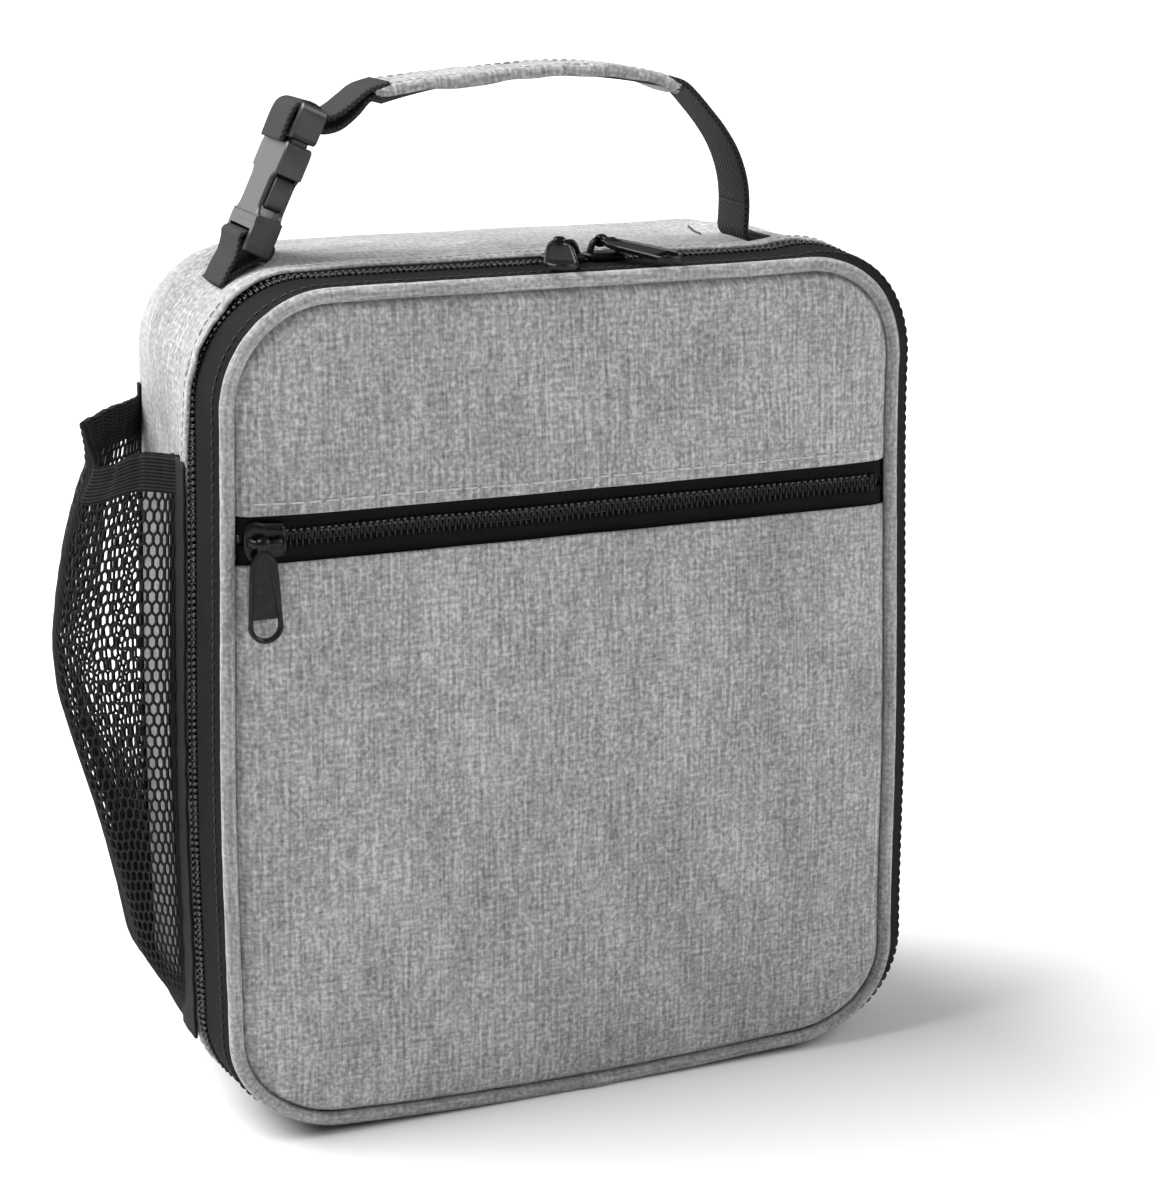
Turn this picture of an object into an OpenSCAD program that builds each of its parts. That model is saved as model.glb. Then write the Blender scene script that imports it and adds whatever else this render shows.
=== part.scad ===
// Soft insulated lunch bag, standing upright.
// The origin is on the floor, in the middle of the body's width and depth.
// +Z is up, the zipped front panel faces -Y, and the net pocket is on the -X side.

/* [Body] */
// Width of the body over the side panels
body_w = 210; // [190:5:240]
// Depth of the body from front panel to back panel
body_d = 100; // [90:5:130]
// Height of the body
body_h = 250; // [235:5:280]
// Radius of the body's four rounded corners, seen from the front
corner_r = 32; // [26:1:38]

/* [Walls] */
// Thickness of the woven outer fabric
fabric_t = 1; // [0.8:0.1:1.2]
// Thickness of the foam insulation
foam_t = 4; // [3:0.5:5]
// Thickness of the foil lining
lining_t = 0.8; // [0.6:0.1:1]

/* [Front door] */
// Width of the fabric strip along the bottom that hinges the door
hinge_w = 124; // [100:2:140]
// Diameter of the piping cord round the front panel
piping_dia = 4; // [3:0.5:5]
// Distance of the main zip's centre line behind the front face
main_zip_back = 23; // [21:1:26]
// Height of the lower edge of the front pocket's zip band
pocket_band_z = 174.5; // [150:0.5:180]
// Height of the front pocket's zip band
pocket_band_h = 15; // [14:0.5:17]

/* [Zip sliders] */
// Length of each zip slider's body
slider_l = 12; // [10:0.5:12]
// Length of each pull from its hinge to its tip
pull_l = 28; // [22:1:30]

/* [Net pocket] */
// Furthest reach of the net pocket from the side panel
net_reach = 37; // [30:1:40]
// Height of the net pocket's lower seam
net_bottom_z = 22; // [18:1:30]
// Height of the top of its elastic band
net_top_z = 205; // [190:1:208]

/* [Handle] */
// Width of the black webbing
web_w = 20; // [18:1:22]
// Height of the highest point of the grip sleeve above the body
grip_rise = 54; // [50:1:62]

/* [Hidden] */

$fn = 64;
eps = 0.01;
gap = 0.3;
front_y = -body_d / 2;
back_y = body_d / 2;

// Wall layers, as distances in from the body's outline
foam_in = fabric_t + foam_t;
lining_in = foam_in + lining_t;

// Main zip: two coil halves either side of main_zip_y, each sewn to a black tape
coil_w = 2.7;
coil_gap = 1;
coil_proud = 0.4;
coil_t = 2.2;
tape_t = 0.8;
main_zip_y = front_y + main_zip_back;
body_tape_end_y = main_zip_y + 10.7;
hinge_clear = 0.5;
lining_seam_y = body_tape_end_y + 0.8;
back_lining_y = back_y - lining_in;

// Door layers, as distances in from the front face
panel_inset = 4;
door_back_in = 4.5;
door_back_t = 0.6;
door_foam_in = door_back_in + door_back_t;
door_lining_in = door_foam_in + foam_t;
floor_foam_y = front_y + door_lining_in + 1.4;
floor_lining_y = floor_foam_y + 0.5;
door_inset = 5;
binding_w = 2.5;

// Front pocket zip
pocket_zip_z = pocket_band_z + pocket_band_h / 2;
pocket_half_w = body_w / 2 - panel_inset;
pocket_tape_in = 1;
pocket_tape_w = 8.5;

// Zip slider: two plates joined by a thin neck, with a bridge for the pull
plate_w = 11;
plate_t = 1.2;
plate_lift = 0.7;
plate_drop = 0.4;
bar_r = 0.8;
main_bar_h = 5.6;
pocket_bar_h = 4.6;
knuckle_r = 2.1;
knuckle_bore_r = 1.15;
knuckle_l = 3.4;
pull_t = 1.5;
main_left_x = 5;
main_right_x = 18;
pocket_slider_x = -body_w / 2 + 13;

// Net pocket: net_front_y and net_back_y are its seams on the side panel
net_front_y = body_tape_end_y + 1.5;
net_back_y = back_y - 6;
net_t = 1.2;
elastic_h = 14;
net_neck_z = net_top_z - elastic_h;
elastic_t = 2.2;
net_slack = 17;
net_foot_h = 10;
net_belly_z = net_bottom_z + 121;
net_belly_h = 48;

// Buckle: its axis leans by buckle_lean from vertical, towards +X
strap_y = -2;
web_t = 1.4;
buckle_x = -body_w / 2 + 23;
buckle_z = body_h + 5.3;
buckle_lean = 25.3;
buckle_w = 25;
buckle_t = 8;
socket_l = 32.3;
plug_gap = 1.2;
head_l = 10.5;
buckle_wall = 1.2;
slot_l = 3.4;
slot_w = web_w + 0.6;
bar_l = 2.2;
window_from = 9.5;
window_to = 23;
window_depth = 3.6;
arm_reach = 21;
arm_out = buckle_w / 2 - buckle_wall - 0.35;
arm_w = 4.4;
arm_pivot_in = 1.4;
prong_clear = 0.25;

// Grip: a shallow arc whose crown is at grip_x, grip_sag above its left end
grip_left_x = buckle_x + 38;
grip_right_x = body_w / 2 - 55.5;
grip_x = (grip_left_x + grip_right_x) / 2 + 1.25;
grip_sag = 6.4;
grip_r = pow(grip_x - grip_left_x, 2) / (2 * grip_sag);
sleeve_w = web_w + 2.4;
sleeve_t = 3.2;
sleeve_wall = 0.7;
grip_z = body_h + grip_rise - sleeve_t / 2;

// Webbing of the handle: sewn-down ends, the right leg and the doubled end at the plug
anchor_l = 12;
anchor_right_x = body_w / 2 - 39;
anchor_from = 118;
anchor_to = 136;
leg_t = 1.8;
leg_x = body_w / 2 - 34.2;
leg_end = [grip_right_x + 1.5, grip_z - grip_sag - 2.7];
leg_points = [[leg_x, body_h + 5.6], [leg_x + 0.4, body_h + 11], [leg_x - 1.2, body_h + 21.5],
    [leg_x - 6.6, body_h + 32.5], leg_end + [6, -3.8], leg_end];
doubled_t = 3;

grey = [0.6, 0.6, 0.61];
light_grey = [0.78, 0.78, 0.79];
black = [0.09, 0.09, 0.1];
foil = [0.8, 0.81, 0.83];
foam_white = [0.93, 0.93, 0.9];
metal_black = [0.14, 0.14, 0.15];

// ---------- shared shapes ----------

// Rounded outline of the body, seen from the front, moved in by inset
module outline(inset = 0) {
    r = corner_r - inset;
    hw = body_w / 2 - inset;
    translate([-hw + r, inset]) square([2 * (hw - r), body_h - 2 * inset]);
    translate([-hw, inset + r]) square([2 * hw, body_h - 2 * inset - 2 * r]);
    for (x = [-hw + r, hw - r], z = [inset + r, body_h - inset - r])
        translate([x, z]) circle(r);
}

// Extrudes a front-view shape along Y from y0 to y1
module along_y(y0, y1) {
    translate([0, y1, 0]) rotate([90, 0, 0]) linear_extrude(y1 - y0) children();
}

// Plate that fills the outline between y0 and y1
module plate(y0, y1, inset = 0) {
    along_y(y0, y1) outline(inset);
}

// Everything at or above the floor between y0 and y1
module above_floor(y0, y1) {
    translate([-body_w, y0, 0]) cube([2 * body_w, y1 - y0, 2 * body_h]);
}

// Band that follows the outline, between two insets and y0..y1
module band(y0, y1, inset_out, inset_in) {
    along_y(y0, y1) difference() {
        outline(inset_out);
        outline(inset_in);
    }
}

// Removes the stretch of floor between the zip's ends, widened by grow
module without_hinge_strip(grow = 0) {
    difference() {
        children();
        hinge_strip_space(hinge_w / 2 + grow);
    }
}

module hinge_strip_space(half_w) {
    translate([-half_w, front_y - 10, -10]) cube([2 * half_w, body_d + 20, 10 + corner_r / 2]);
}

// Floor layer between the zip's ends, thickness t above height z
module floor_strip(y0, y1, z, t) {
    translate([-hinge_w / 2, y0, z]) cube([hinge_w, y1 - y0, t]);
}

// Black zip tape and coil strips that follow the main opening
module main_tape(y0, y1) {
    without_hinge_strip(hinge_clear) band(y0, y1, 0, tape_t);
}

module main_coil(y0) {
    without_hinge_strip(hinge_clear) intersection() {
        band(y0, y0 + coil_w, -coil_proud, coil_t - coil_proud);
        above_floor(y0 - 1, y0 + coil_w + 1);
    }
}

// Extrudes a front-view shape to the width of the webbing
module webbing() {
    along_y(strap_y - web_w / 2, strap_y + web_w / 2) children();
}

// Front view of a strap of thickness t through the given points
module strap_profile(points, t) {
    for (i = [0 : len(points) - 2]) {
        step = points[i + 1] - points[i];
        translate(points[i]) rotate(atan2(step[1], step[0]))
            translate([0, -t / 2]) square([norm(step), t]);
    }
    for (i = [1 : 1 : len(points) - 2]) translate(points[i]) circle(d = t);
}

// ---------- fixed body ----------

module side_panel() {
    color(light_grey) without_hinge_strip()
        band(body_tape_end_y, back_y - fabric_t, 0, fabric_t);
}

module bottom_panel() {
    color(light_grey)
        floor_strip(front_y + piping_dia + hinge_clear, back_y - fabric_t, 0, fabric_t);
}

module back_panel() {
    color(light_grey) plate(back_y - fabric_t, back_y);
}

module side_foam() {
    color(foam_white) without_hinge_strip()
        band(lining_seam_y, back_y - foam_in, fabric_t, foam_in);
}

module bottom_foam() {
    color(foam_white)
        floor_strip(floor_foam_y, back_y - foam_in, fabric_t, foam_t);
}

module back_foam() {
    color(foam_white) plate(back_y - foam_in, back_y - fabric_t, fabric_t);
}

module side_lining() {
    color(foil) without_hinge_strip() band(lining_seam_y, back_lining_y, foam_in, lining_in);
}

module bottom_lining() {
    color(foil) floor_strip(floor_lining_y, back_lining_y, foam_in, lining_t);
}

module back_lining() {
    color(foil) plate(back_lining_y, back_y - foam_in, foam_in);
}

module back_seam_binding() {
    color(black) band(back_lining_y - binding_w, back_lining_y, lining_in, lining_in + binding_w);
}

module opening_binding() {
    color(black) without_hinge_strip() band(body_tape_end_y, lining_seam_y, fabric_t, lining_in);
}

module main_zip_tape_body() {
    color(black) main_tape(main_zip_y + coil_gap / 2 + coil_w, body_tape_end_y);
}

module main_zip_coil_body() {
    color(metal_black) main_coil(main_zip_y + coil_gap / 2);
}

// A small stop on each end of the body's coil, beside the hinge strip
module main_zip_end_stops() {
    stop_l = 3;
    color(metal_black) for (side = [-1, 1])
        translate([side * (hinge_w / 2 + hinge_clear + stop_l / 2), main_zip_y + 2, 2.6])
            cube([stop_l, 3, 1.6], center = true);
}

// Webbing end sewn down on the rounded top left corner
module handle_anchor_left() {
    reach = 2 * corner_r;
    color(black) webbing() translate([-body_w / 2 + corner_r, body_h - corner_r])
        intersection() {
            difference() {
                circle(corner_r + 2 * web_t);
                circle(corner_r);
            }
            rotate(anchor_from) square(reach);
            rotate(anchor_to) translate([0, -reach]) square(reach);
        }
}

module handle_anchor_right() {
    color(black) translate([anchor_right_x, strap_y - web_w / 2, body_h])
        cube([anchor_l, web_w, 2 * web_t]);
}

// Net pocket: how far the net stands off the side panel.
// u runs from the front seam to the back seam and z is a height
function net_round(u) = pow(max(0, sin(180 * pow(u, 0.6))), 0.8);
function net_rise(z) = 1 - exp(-(z - net_bottom_z) / net_foot_h);
function net_belly(z) = (net_reach - net_slack) * exp(-pow((z - net_belly_z) / net_belly_h, 2));
function net_out(u, z) = net_round(u) * net_rise(z) * (net_slack + net_belly(z));
function net_point(u, z) = [-body_w / 2 - net_out(u, z),
    net_front_y + u * (net_back_y - net_front_y), z];

// Curved sheet of thickness t between heights z0 and z1
module net_sheet(z0, z1, rows, t) {
    cols = 18;
    n = cols + 1;
    m = rows + 1;
    inner = [for (j = [0 : rows], i = [0 : cols])
        net_point(i / cols, z0 + (z1 - z0) * j / rows)];
    outer = [for (p = inner) p - [t, 0, 0]];
    back = n * m;
    walls = [for (j = [0 : rows - 1], i = [0 : cols - 1])
        let (a = j * n + i, b = a + 1, c = a + n, d = c + 1)
        each [[a, b, c], [b, d, c],
            [back + a, back + c, back + b], [back + b, back + c, back + d]]];
    ends = [for (i = [0 : cols - 1], row = [0, rows])
        let (a = row * n + i, b = a + 1)
        each (row == 0 ? [[a, back + a, b], [b, back + a, back + b]]
            : [[a, b, back + a], [b, back + b, back + a]])];
    sides = [for (j = [0 : rows - 1], col = [0, cols])
        let (a = j * n + col, c = a + n)
        each (col == 0 ? [[a, c, back + a], [c, back + c, back + a]]
            : [[a, back + a, c], [c, back + a, back + c]])];
    polyhedron(concat(inner, outer), concat(walls, ends, sides));
}

module net_pocket() {
    color(black) net_sheet(net_bottom_z, net_neck_z, 16, net_t);
}

module net_pocket_elastic() {
    color(black) net_sheet(net_neck_z, net_top_z, 2, elastic_t);
}

// ---------- front door ----------

// Part of the front panel between two heights
module front_panel(z0, z1) {
    intersection() {
        plate(front_y, front_y + fabric_t, panel_inset);
        translate([-body_w, front_y - 1, z0]) cube([2 * body_w, 4, z1 - z0]);
    }
}

module upper_front_panel() {
    color(grey) front_panel(pocket_band_z + pocket_band_h, body_h);
}

module pocket_front_panel() {
    color(grey) front_panel(0, pocket_band_z);
}

module pocket_back_panel() {
    color(grey) plate(front_y + door_back_in, front_y + door_foam_in, door_inset + gap);
}

module door_foam() {
    color(foam_white) plate(front_y + door_foam_in, front_y + door_lining_in, door_inset);
}

module door_lining() {
    color(foil) plate(front_y + door_lining_in, front_y + door_lining_in + lining_t, door_inset);
}

module door_seam_binding() {
    color(black) band(front_y + piping_dia + gap, front_y + door_lining_in - 0.4, 2, door_inset);
}

// Piping cord: a ring of round section with true round corners
module front_piping() {
    r = piping_dia / 2;
    arc_r = corner_r - r;
    hx = body_w / 2 - corner_r;
    low_z = corner_r;
    high_z = body_h - corner_r;
    color(light_grey) translate([0, front_y + r, 0]) {
        for (c = [[hx, high_z, 0], [-hx, high_z, 90], [-hx, low_z, 180], [hx, low_z, 270]])
            translate([c[0], 0, c[1]]) rotate([90, 0, 0]) rotate([0, 0, c[2]])
                rotate_extrude(angle = 90) translate([arc_r, 0]) circle(r);
        for (z = [r, body_h - r])
            translate([-hx, 0, z]) rotate([0, 90, 0]) cylinder(h = 2 * hx, r = r);
        for (x = [-body_w / 2 + r, body_w / 2 - r])
            translate([x, 0, low_z]) cylinder(h = high_z - low_z, r = r);
    }
}

module main_zip_tape_door() {
    color(black) main_tape(front_y + piping_dia, main_zip_y - coil_gap / 2 - coil_w);
}

module main_zip_coil_door() {
    color(metal_black) main_coil(main_zip_y - coil_gap / 2 - coil_w);
}

// Tape behind the front panel; side is 1 above the zip and -1 below it
module pocket_tape(side) {
    z = pocket_zip_z + side * (coil_gap / 2 + coil_w + pocket_tape_w / 2);
    color(black) translate([0, front_y + pocket_tape_in + tape_t / 2, z])
        cube([2 * pocket_half_w, tape_t, pocket_tape_w], center = true);
}

module pocket_coil(side) {
    z = pocket_zip_z + side * (coil_gap / 2 + coil_w / 2);
    color(metal_black) translate([0, front_y + 0.3 + coil_t / 2, z])
        cube([2 * pocket_half_w, coil_t, coil_w], center = true);
}

module pocket_zip_tape_upper() {
    pocket_tape(1);
}

module pocket_zip_tape_lower() {
    pocket_tape(-1);
}

module pocket_zip_coil_upper() {
    pocket_coil(1);
}

module pocket_zip_coil_lower() {
    pocket_coil(-1);
}

// A small stop across the two coils at each end of the front pocket's zip
module pocket_zip_end_stops() {
    stop_l = 1.6;
    color(metal_black) for (side = [-1, 1])
        translate([side * (pocket_half_w - stop_l), front_y - 0.1, pocket_zip_z])
            cube([stop_l, 0.8, 5], center = true);
}

// ---------- zip sliders ----------

// Slider that runs along X on a zip whose face is at z = 0, with the pull side up.
// coil_top is the coil's height and coil_low its underside
module slider(coil_top, coil_low, bar_h) {
    top = coil_top + plate_lift;
    low = coil_low - plate_drop;
    leg_x = slider_l / 2 - 2;
    color(metal_black) {
        translate([0, 0, top]) slider_plate();
        translate([0, 0, low - plate_t]) slider_plate();
        translate([-slider_l / 2 + 1, -0.25, low - eps]) cube([2, 0.5, top - low + 2 * eps]);
        for (x = [-leg_x, leg_x]) {
            translate([x, 0, top]) cylinder(h = bar_h - top, r = bar_r);
            translate([x, 0, bar_h]) sphere(bar_r);
        }
        translate([-leg_x, 0, bar_h]) rotate([0, 90, 0]) cylinder(h = 2 * leg_x, r = bar_r);
    }
}

// Flat plate with a rounded nose at -X
module slider_plate() {
    nose = 3;
    linear_extrude(plate_t) {
        translate([-slider_l / 2 + nose, -plate_w / 2]) square([slider_l - nose, plate_w]);
        translate([-slider_l / 2, -plate_w / 2 + nose]) square([nose, plate_w - 2 * nose]);
        for (y = [-1, 1])
            translate([-slider_l / 2 + nose, y * (plate_w / 2 - nose)]) circle(nose);
    }
}

// Pull that hangs from a bar along X through the origin and points to -Y,
// turned by skew in its own plane
module pull(skew) {
    neck_w = 7.4;
    tip_r = 5;
    hole_r = 3.5;
    tip_y = -pull_l + tip_r;
    color(metal_black) {
        difference() {
            union() {
                rotate([0, 90, 0]) cylinder(h = knuckle_l, r = knuckle_r, center = true);
                rotate([0, 0, skew]) translate([0, 0, -pull_t / 2]) linear_extrude(pull_t)
                    difference() {
                        polygon([[-knuckle_l / 2, 0], [-neck_w / 2, -5], [-tip_r, tip_y],
                            [tip_r, tip_y], [neck_w / 2, -5], [knuckle_l / 2, 0]]);
                        translate([0, tip_y]) square([2 * hole_r, 2], center = true);
                    }
                rotate([0, 0, skew]) translate([0, tip_y, -pull_t / 2]) linear_extrude(pull_t)
                    difference() {
                        pull_tip(tip_r);
                        pull_tip(hole_r);
                    }
            }
            rotate([0, 90, 0]) cylinder(h = 4 * knuckle_l, r = knuckle_bore_r, center = true);
        }
    }
}

// Half disc below the pull's straight part
module pull_tip(r) {
    difference() {
        circle(r);
        translate([-2 * r, 0]) square([4 * r, 2 * r]);
    }
}

// Places a slider or pull on the top run of the main zip
module on_top(x, h = 0) {
    translate([x, main_zip_y, body_h + h]) children();
}

// Places a slider or pull on the front pocket's zip
module on_front(x, h = 0) {
    translate([x, front_y - h, pocket_zip_z]) rotate([90, 0, 0]) children();
}

module main_slider_left() {
    on_top(main_left_x) slider(coil_proud, coil_proud - coil_t, main_bar_h);
}

module main_slider_right() {
    on_top(main_right_x) mirror([1, 0, 0]) slider(coil_proud, coil_proud - coil_t, main_bar_h);
}

module pocket_slider() {
    on_front(pocket_slider_x) slider(-0.3, -0.3 - coil_t, pocket_bar_h);
}

module main_pull_left() {
    on_top(main_left_x - 1, main_bar_h) rotate([7, 0, 0]) pull(-20);
}

module main_pull_right() {
    on_top(main_right_x - 1, main_bar_h) rotate([7, 0, 0]) pull(31);
}

module pocket_pull() {
    on_front(pocket_slider_x - 1.5, pocket_bar_h) pull(0);
}

// ---------- buckle and handle ----------

// Buckle frame: +Z is the buckle's axis, +X its thickness and Y its width
module buckle_frame() {
    translate([buckle_x, strap_y, buckle_z]) rotate([0, buckle_lean, 0]) children();
}

// Block of rounded section between two heights of the buckle
module buckle_block(z0, z1, t = buckle_t, w = buckle_w, r = 2) {
    translate([0, 0, z0]) linear_extrude(z1 - z0) {
        square([t - 2 * r, w], center = true);
        square([t, w - 2 * r], center = true);
        for (x = [-1, 1], y = [-1, 1])
            translate([x * (t / 2 - r), y * (w / 2 - r)]) circle(r);
    }
}

// Slot through the thickness for the webbing
module web_slot(z0) {
    translate([-buckle_t, -slot_w / 2, z0]) cube([2 * buckle_t, slot_w, slot_l]);
}

module buckle_socket() {
    chamfer = 4;
    inner_t = buckle_t - 2 * buckle_wall;
    inner_w = buckle_w - 2 * buckle_wall;
    window_l = window_to - window_from;
    color(black) buckle_frame() difference() {
        buckle_block(0, socket_l);
        web_slot(bar_l);
        translate([-inner_t / 2, -inner_w / 2, 7]) cube([inner_t, inner_w, socket_l]);
        for (side = [-1, 1]) {
            translate([0, side * buckle_w / 2, window_from + window_l / 2])
                cube([2 * buckle_t, 2 * window_depth, window_l], center = true);
            translate([0, side * buckle_w / 2, 0]) rotate([side * 45, 0, 0])
                cube([2 * buckle_t, chamfer, chamfer], center = true);
        }
    }
}

// Loop of webbing round the bar at the foot of the socket
module socket_webbing_loop() {
    color(black) webbing() loop_profile(bar_l / 2);
}

// Front view of a closed loop of webbing round a buckle bar centred at height z of the buckle
module loop_profile(z) {
    in_r = bar_l / 2 + 0.2;
    loop_t = 1;
    half = buckle_t / 2 - 0.4;
    translate([buckle_x, buckle_z] + z * [sin(buckle_lean), cos(buckle_lean)])
        rotate(-buckle_lean) difference() {
            loop_outline(half, in_r + loop_t);
            loop_outline(half, in_r);
        }
}

module loop_outline(half, r) {
    square([2 * half, 2 * r], center = true);
    for (x = [-half, half]) translate([x, 0]) circle(r);
}

module handle_webbing_leg() {
    color(black) webbing() strap_profile(leg_points, leg_t);
}

module buckle_plug() {
    head_z = socket_l + plug_gap;
    guide_z = 15;
    inner_t = buckle_t - 2 * buckle_wall - 2 * prong_clear;
    color(black) buckle_frame() {
        difference() {
            buckle_block(head_z, head_z + head_l);
            web_slot(head_z + head_l - bar_l - slot_l);
            for (side = [-1, 1]) translate([0, side * (arm_out - arm_w / 2), head_z - eps])
                cube([inner_t + 0.6, arm_w + 1.4, 2 * arm_pivot_in + 0.8], center = true);
        }
        translate([-inner_t / 2, -2, guide_z]) cube([inner_t, 4, head_z - guide_z + eps]);
    }
}

// Sprung latch arm; side is -1 at the front and 1 at the back
module latch_arm(side) {
    head_z = socket_l + plug_gap;
    inner_t = buckle_t - 2 * buckle_wall - 2 * prong_clear;
    y_mid = side * (arm_out - arm_w / 2);
    tip_z = head_z - arm_reach;
    color(black) buckle_frame() {
        translate([-inner_t / 2, y_mid - arm_w / 2, tip_z + 2])
            cube([inner_t, arm_w, arm_reach - 2]);
        translate([-inner_t / 2, y_mid - side * 0.6 - arm_w / 2 + 0.6, tip_z])
            cube([inner_t, arm_w - 1.2, 2 + eps]);
    }
}

module latch_arm_front() {
    latch_arm(-1);
}

module latch_arm_back() {
    latch_arm(1);
}

// Webbing doubled round the plug's bar and running up to the sleeve
module plug_webbing() {
    bar_z = socket_l + plug_gap + head_l - bar_l / 2;
    start = [buckle_x, buckle_z] + (bar_z + 3) * [sin(buckle_lean), cos(buckle_lean)];
    color(black) webbing() {
        loop_profile(bar_z);
        strap_profile([start, [grip_left_x - 2 * gap, grip_z - grip_sag]], doubled_t);
    }
}

// Arc of the grip, t thick and w wide, between two X positions
module grip_arc(t, w, x0, x1) {
    a0 = acos((x0 - grip_x) / grip_r);
    a1 = acos((x1 - grip_x) / grip_r);
    translate([grip_x, strap_y, grip_z - grip_r]) rotate([90, 0, 0]) rotate([0, 0, a1])
        rotate_extrude(angle = a0 - a1, $fn = 256)
            translate([grip_r - t / 2, -w / 2]) square([t, w]);
}

module grip_sleeve() {
    color(light_grey) difference() {
        grip_arc(sleeve_t, sleeve_w, grip_left_x, grip_right_x);
        grip_arc(sleeve_t - 2 * sleeve_wall, sleeve_w - 2 * sleeve_wall,
            grip_left_x - 1, grip_right_x + 1);
    }
}

module grip_webbing_core() {
    color(black) grip_arc(web_t, web_w, grip_left_x, grip_right_x);
}

side_panel();
bottom_panel();
back_panel();
side_foam();
bottom_foam();
back_foam();
side_lining();
bottom_lining();
back_lining();
back_seam_binding();
opening_binding();
main_zip_tape_body();
main_zip_coil_body();
main_zip_end_stops();
handle_anchor_left();
handle_anchor_right();
net_pocket();
net_pocket_elastic();
upper_front_panel();
pocket_front_panel();
pocket_back_panel();
door_foam();
door_lining();
door_seam_binding();
front_piping();
main_zip_tape_door();
main_zip_coil_door();
pocket_zip_tape_upper();
pocket_zip_tape_lower();
pocket_zip_coil_upper();
pocket_zip_coil_lower();
pocket_zip_end_stops();
main_slider_left();
main_slider_right();
pocket_slider();
main_pull_left();
main_pull_right();
pocket_pull();
buckle_socket();
socket_webbing_loop();
handle_webbing_leg();
buckle_plug();
plug_webbing();
grip_sleeve();
grip_webbing_core();
latch_arm_front();
latch_arm_back();
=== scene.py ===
import math

import bmesh
import bpy
import numpy as np
from mathutils import Matrix, Vector


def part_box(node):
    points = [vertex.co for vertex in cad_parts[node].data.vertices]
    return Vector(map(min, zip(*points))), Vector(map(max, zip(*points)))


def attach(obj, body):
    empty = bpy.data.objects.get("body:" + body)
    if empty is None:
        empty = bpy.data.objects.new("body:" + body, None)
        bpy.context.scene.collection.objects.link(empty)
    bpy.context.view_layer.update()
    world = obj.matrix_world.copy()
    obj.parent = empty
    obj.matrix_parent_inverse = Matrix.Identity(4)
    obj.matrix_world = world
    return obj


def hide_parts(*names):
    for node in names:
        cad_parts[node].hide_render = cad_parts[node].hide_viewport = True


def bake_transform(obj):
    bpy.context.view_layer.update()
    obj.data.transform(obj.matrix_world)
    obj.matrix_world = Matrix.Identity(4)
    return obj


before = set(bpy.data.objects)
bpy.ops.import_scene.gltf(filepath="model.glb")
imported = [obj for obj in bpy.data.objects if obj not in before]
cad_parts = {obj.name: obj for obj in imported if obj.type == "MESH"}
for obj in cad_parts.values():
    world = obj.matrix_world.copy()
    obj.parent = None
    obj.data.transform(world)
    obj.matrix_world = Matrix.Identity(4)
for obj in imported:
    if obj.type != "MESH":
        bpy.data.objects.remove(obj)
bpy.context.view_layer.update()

# Lengths here are in millimetres in the CAD's frame, and become metres in add_mesh().
# X runs to the right of the bag, Y to its back and Z upwards.
MM = 0.001


def box_mm(node):
    low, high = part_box(node)
    return np.array(low) / MM, np.array(high) / MM


# ---------- sizes, read from the frame ----------

side_low, side_high = box_mm("side_panel")
HEIGHT = side_high[2]
HALF = (side_high[0] - side_low[0]) / 2
CORNER_R = 32.0  # the one size here that no box gives
FLAT_X = HALF - CORNER_R
FRONT_Y = box_mm("upper_front_panel")[0][1]
BACK_Y = box_mm("back_panel")[1][1]
PANEL_INSET = HALF - box_mm("upper_front_panel")[1][0]
BAND_LOW = box_mm("pocket_front_panel")[1][2]
BAND_HIGH = box_mm("upper_front_panel")[0][2]
POCKET_ZIP_Z = (BAND_LOW + BAND_HIGH) / 2
PIPING_R = (box_mm("front_piping")[1][1] - box_mm("front_piping")[0][1]) / 2
DOOR_TAPE_Y0 = box_mm("main_zip_tape_door")[0][1]
DOOR_TAPE_Y1 = box_mm("main_zip_tape_door")[1][1]
BODY_TAPE_Y0 = box_mm("main_zip_tape_body")[0][1]
BODY_TAPE_Y1 = box_mm("main_zip_tape_body")[1][1]
ZIP_Y = (DOOR_TAPE_Y1 + BODY_TAPE_Y0) / 2
HINGE_HALF = box_mm("bottom_panel")[1][0]
LINING_IN = box_mm("back_seam_binding")[0][0] + HALF
BACK_LINING_Y = box_mm("back_lining")[0][1]
DOOR_LINING_Y = box_mm("door_lining")[1][1]

# ---------- the outline of the bag, seen from the front ----------

SIDE_RUN = HEIGHT - 2 * CORNER_R
ARC_RUN = math.pi * CORNER_R / 2
RUNS = [FLAT_X, ARC_RUN, SIDE_RUN, ARC_RUN, 2 * FLAT_X, ARC_RUN, SIDE_RUN, ARC_RUN, FLAT_X]
STARTS = np.concatenate([[0], np.cumsum(RUNS)])
RIM_L = STARTS[-1]


def rim(s):
    """Point and outward normal at distance s round the outline.
    It starts in the middle of the bottom edge and goes up the left side first."""
    s = np.mod(np.asarray(s, float), RIM_L)
    run = np.clip(np.searchsorted(STARTS, s, side="right") - 1, 0, len(RUNS) - 1)
    t = s - STARTS[run]
    starts = np.array([(0, 0, 270), (-FLAT_X, CORNER_R, 270), (-HALF, CORNER_R, 180),
        (-FLAT_X, HEIGHT - CORNER_R, 180), (-FLAT_X, HEIGHT, 90), (FLAT_X, HEIGHT - CORNER_R, 90),
        (HALF, HEIGHT - CORNER_R, 0), (FLAT_X, CORNER_R, 0), (FLAT_X, 0, -90)])[run]
    bent = run % 2 == 1
    angle = np.radians(starts[:, 2]) - np.where(bent, t / CORNER_R, 0)
    nx, nz = np.cos(angle), np.sin(angle)
    x = starts[:, 0] + np.where(bent, CORNER_R * nx, t * nz)
    z = starts[:, 1] + np.where(bent, CORNER_R * nz, -t * nx)
    return x, z, nx, nz


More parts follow.
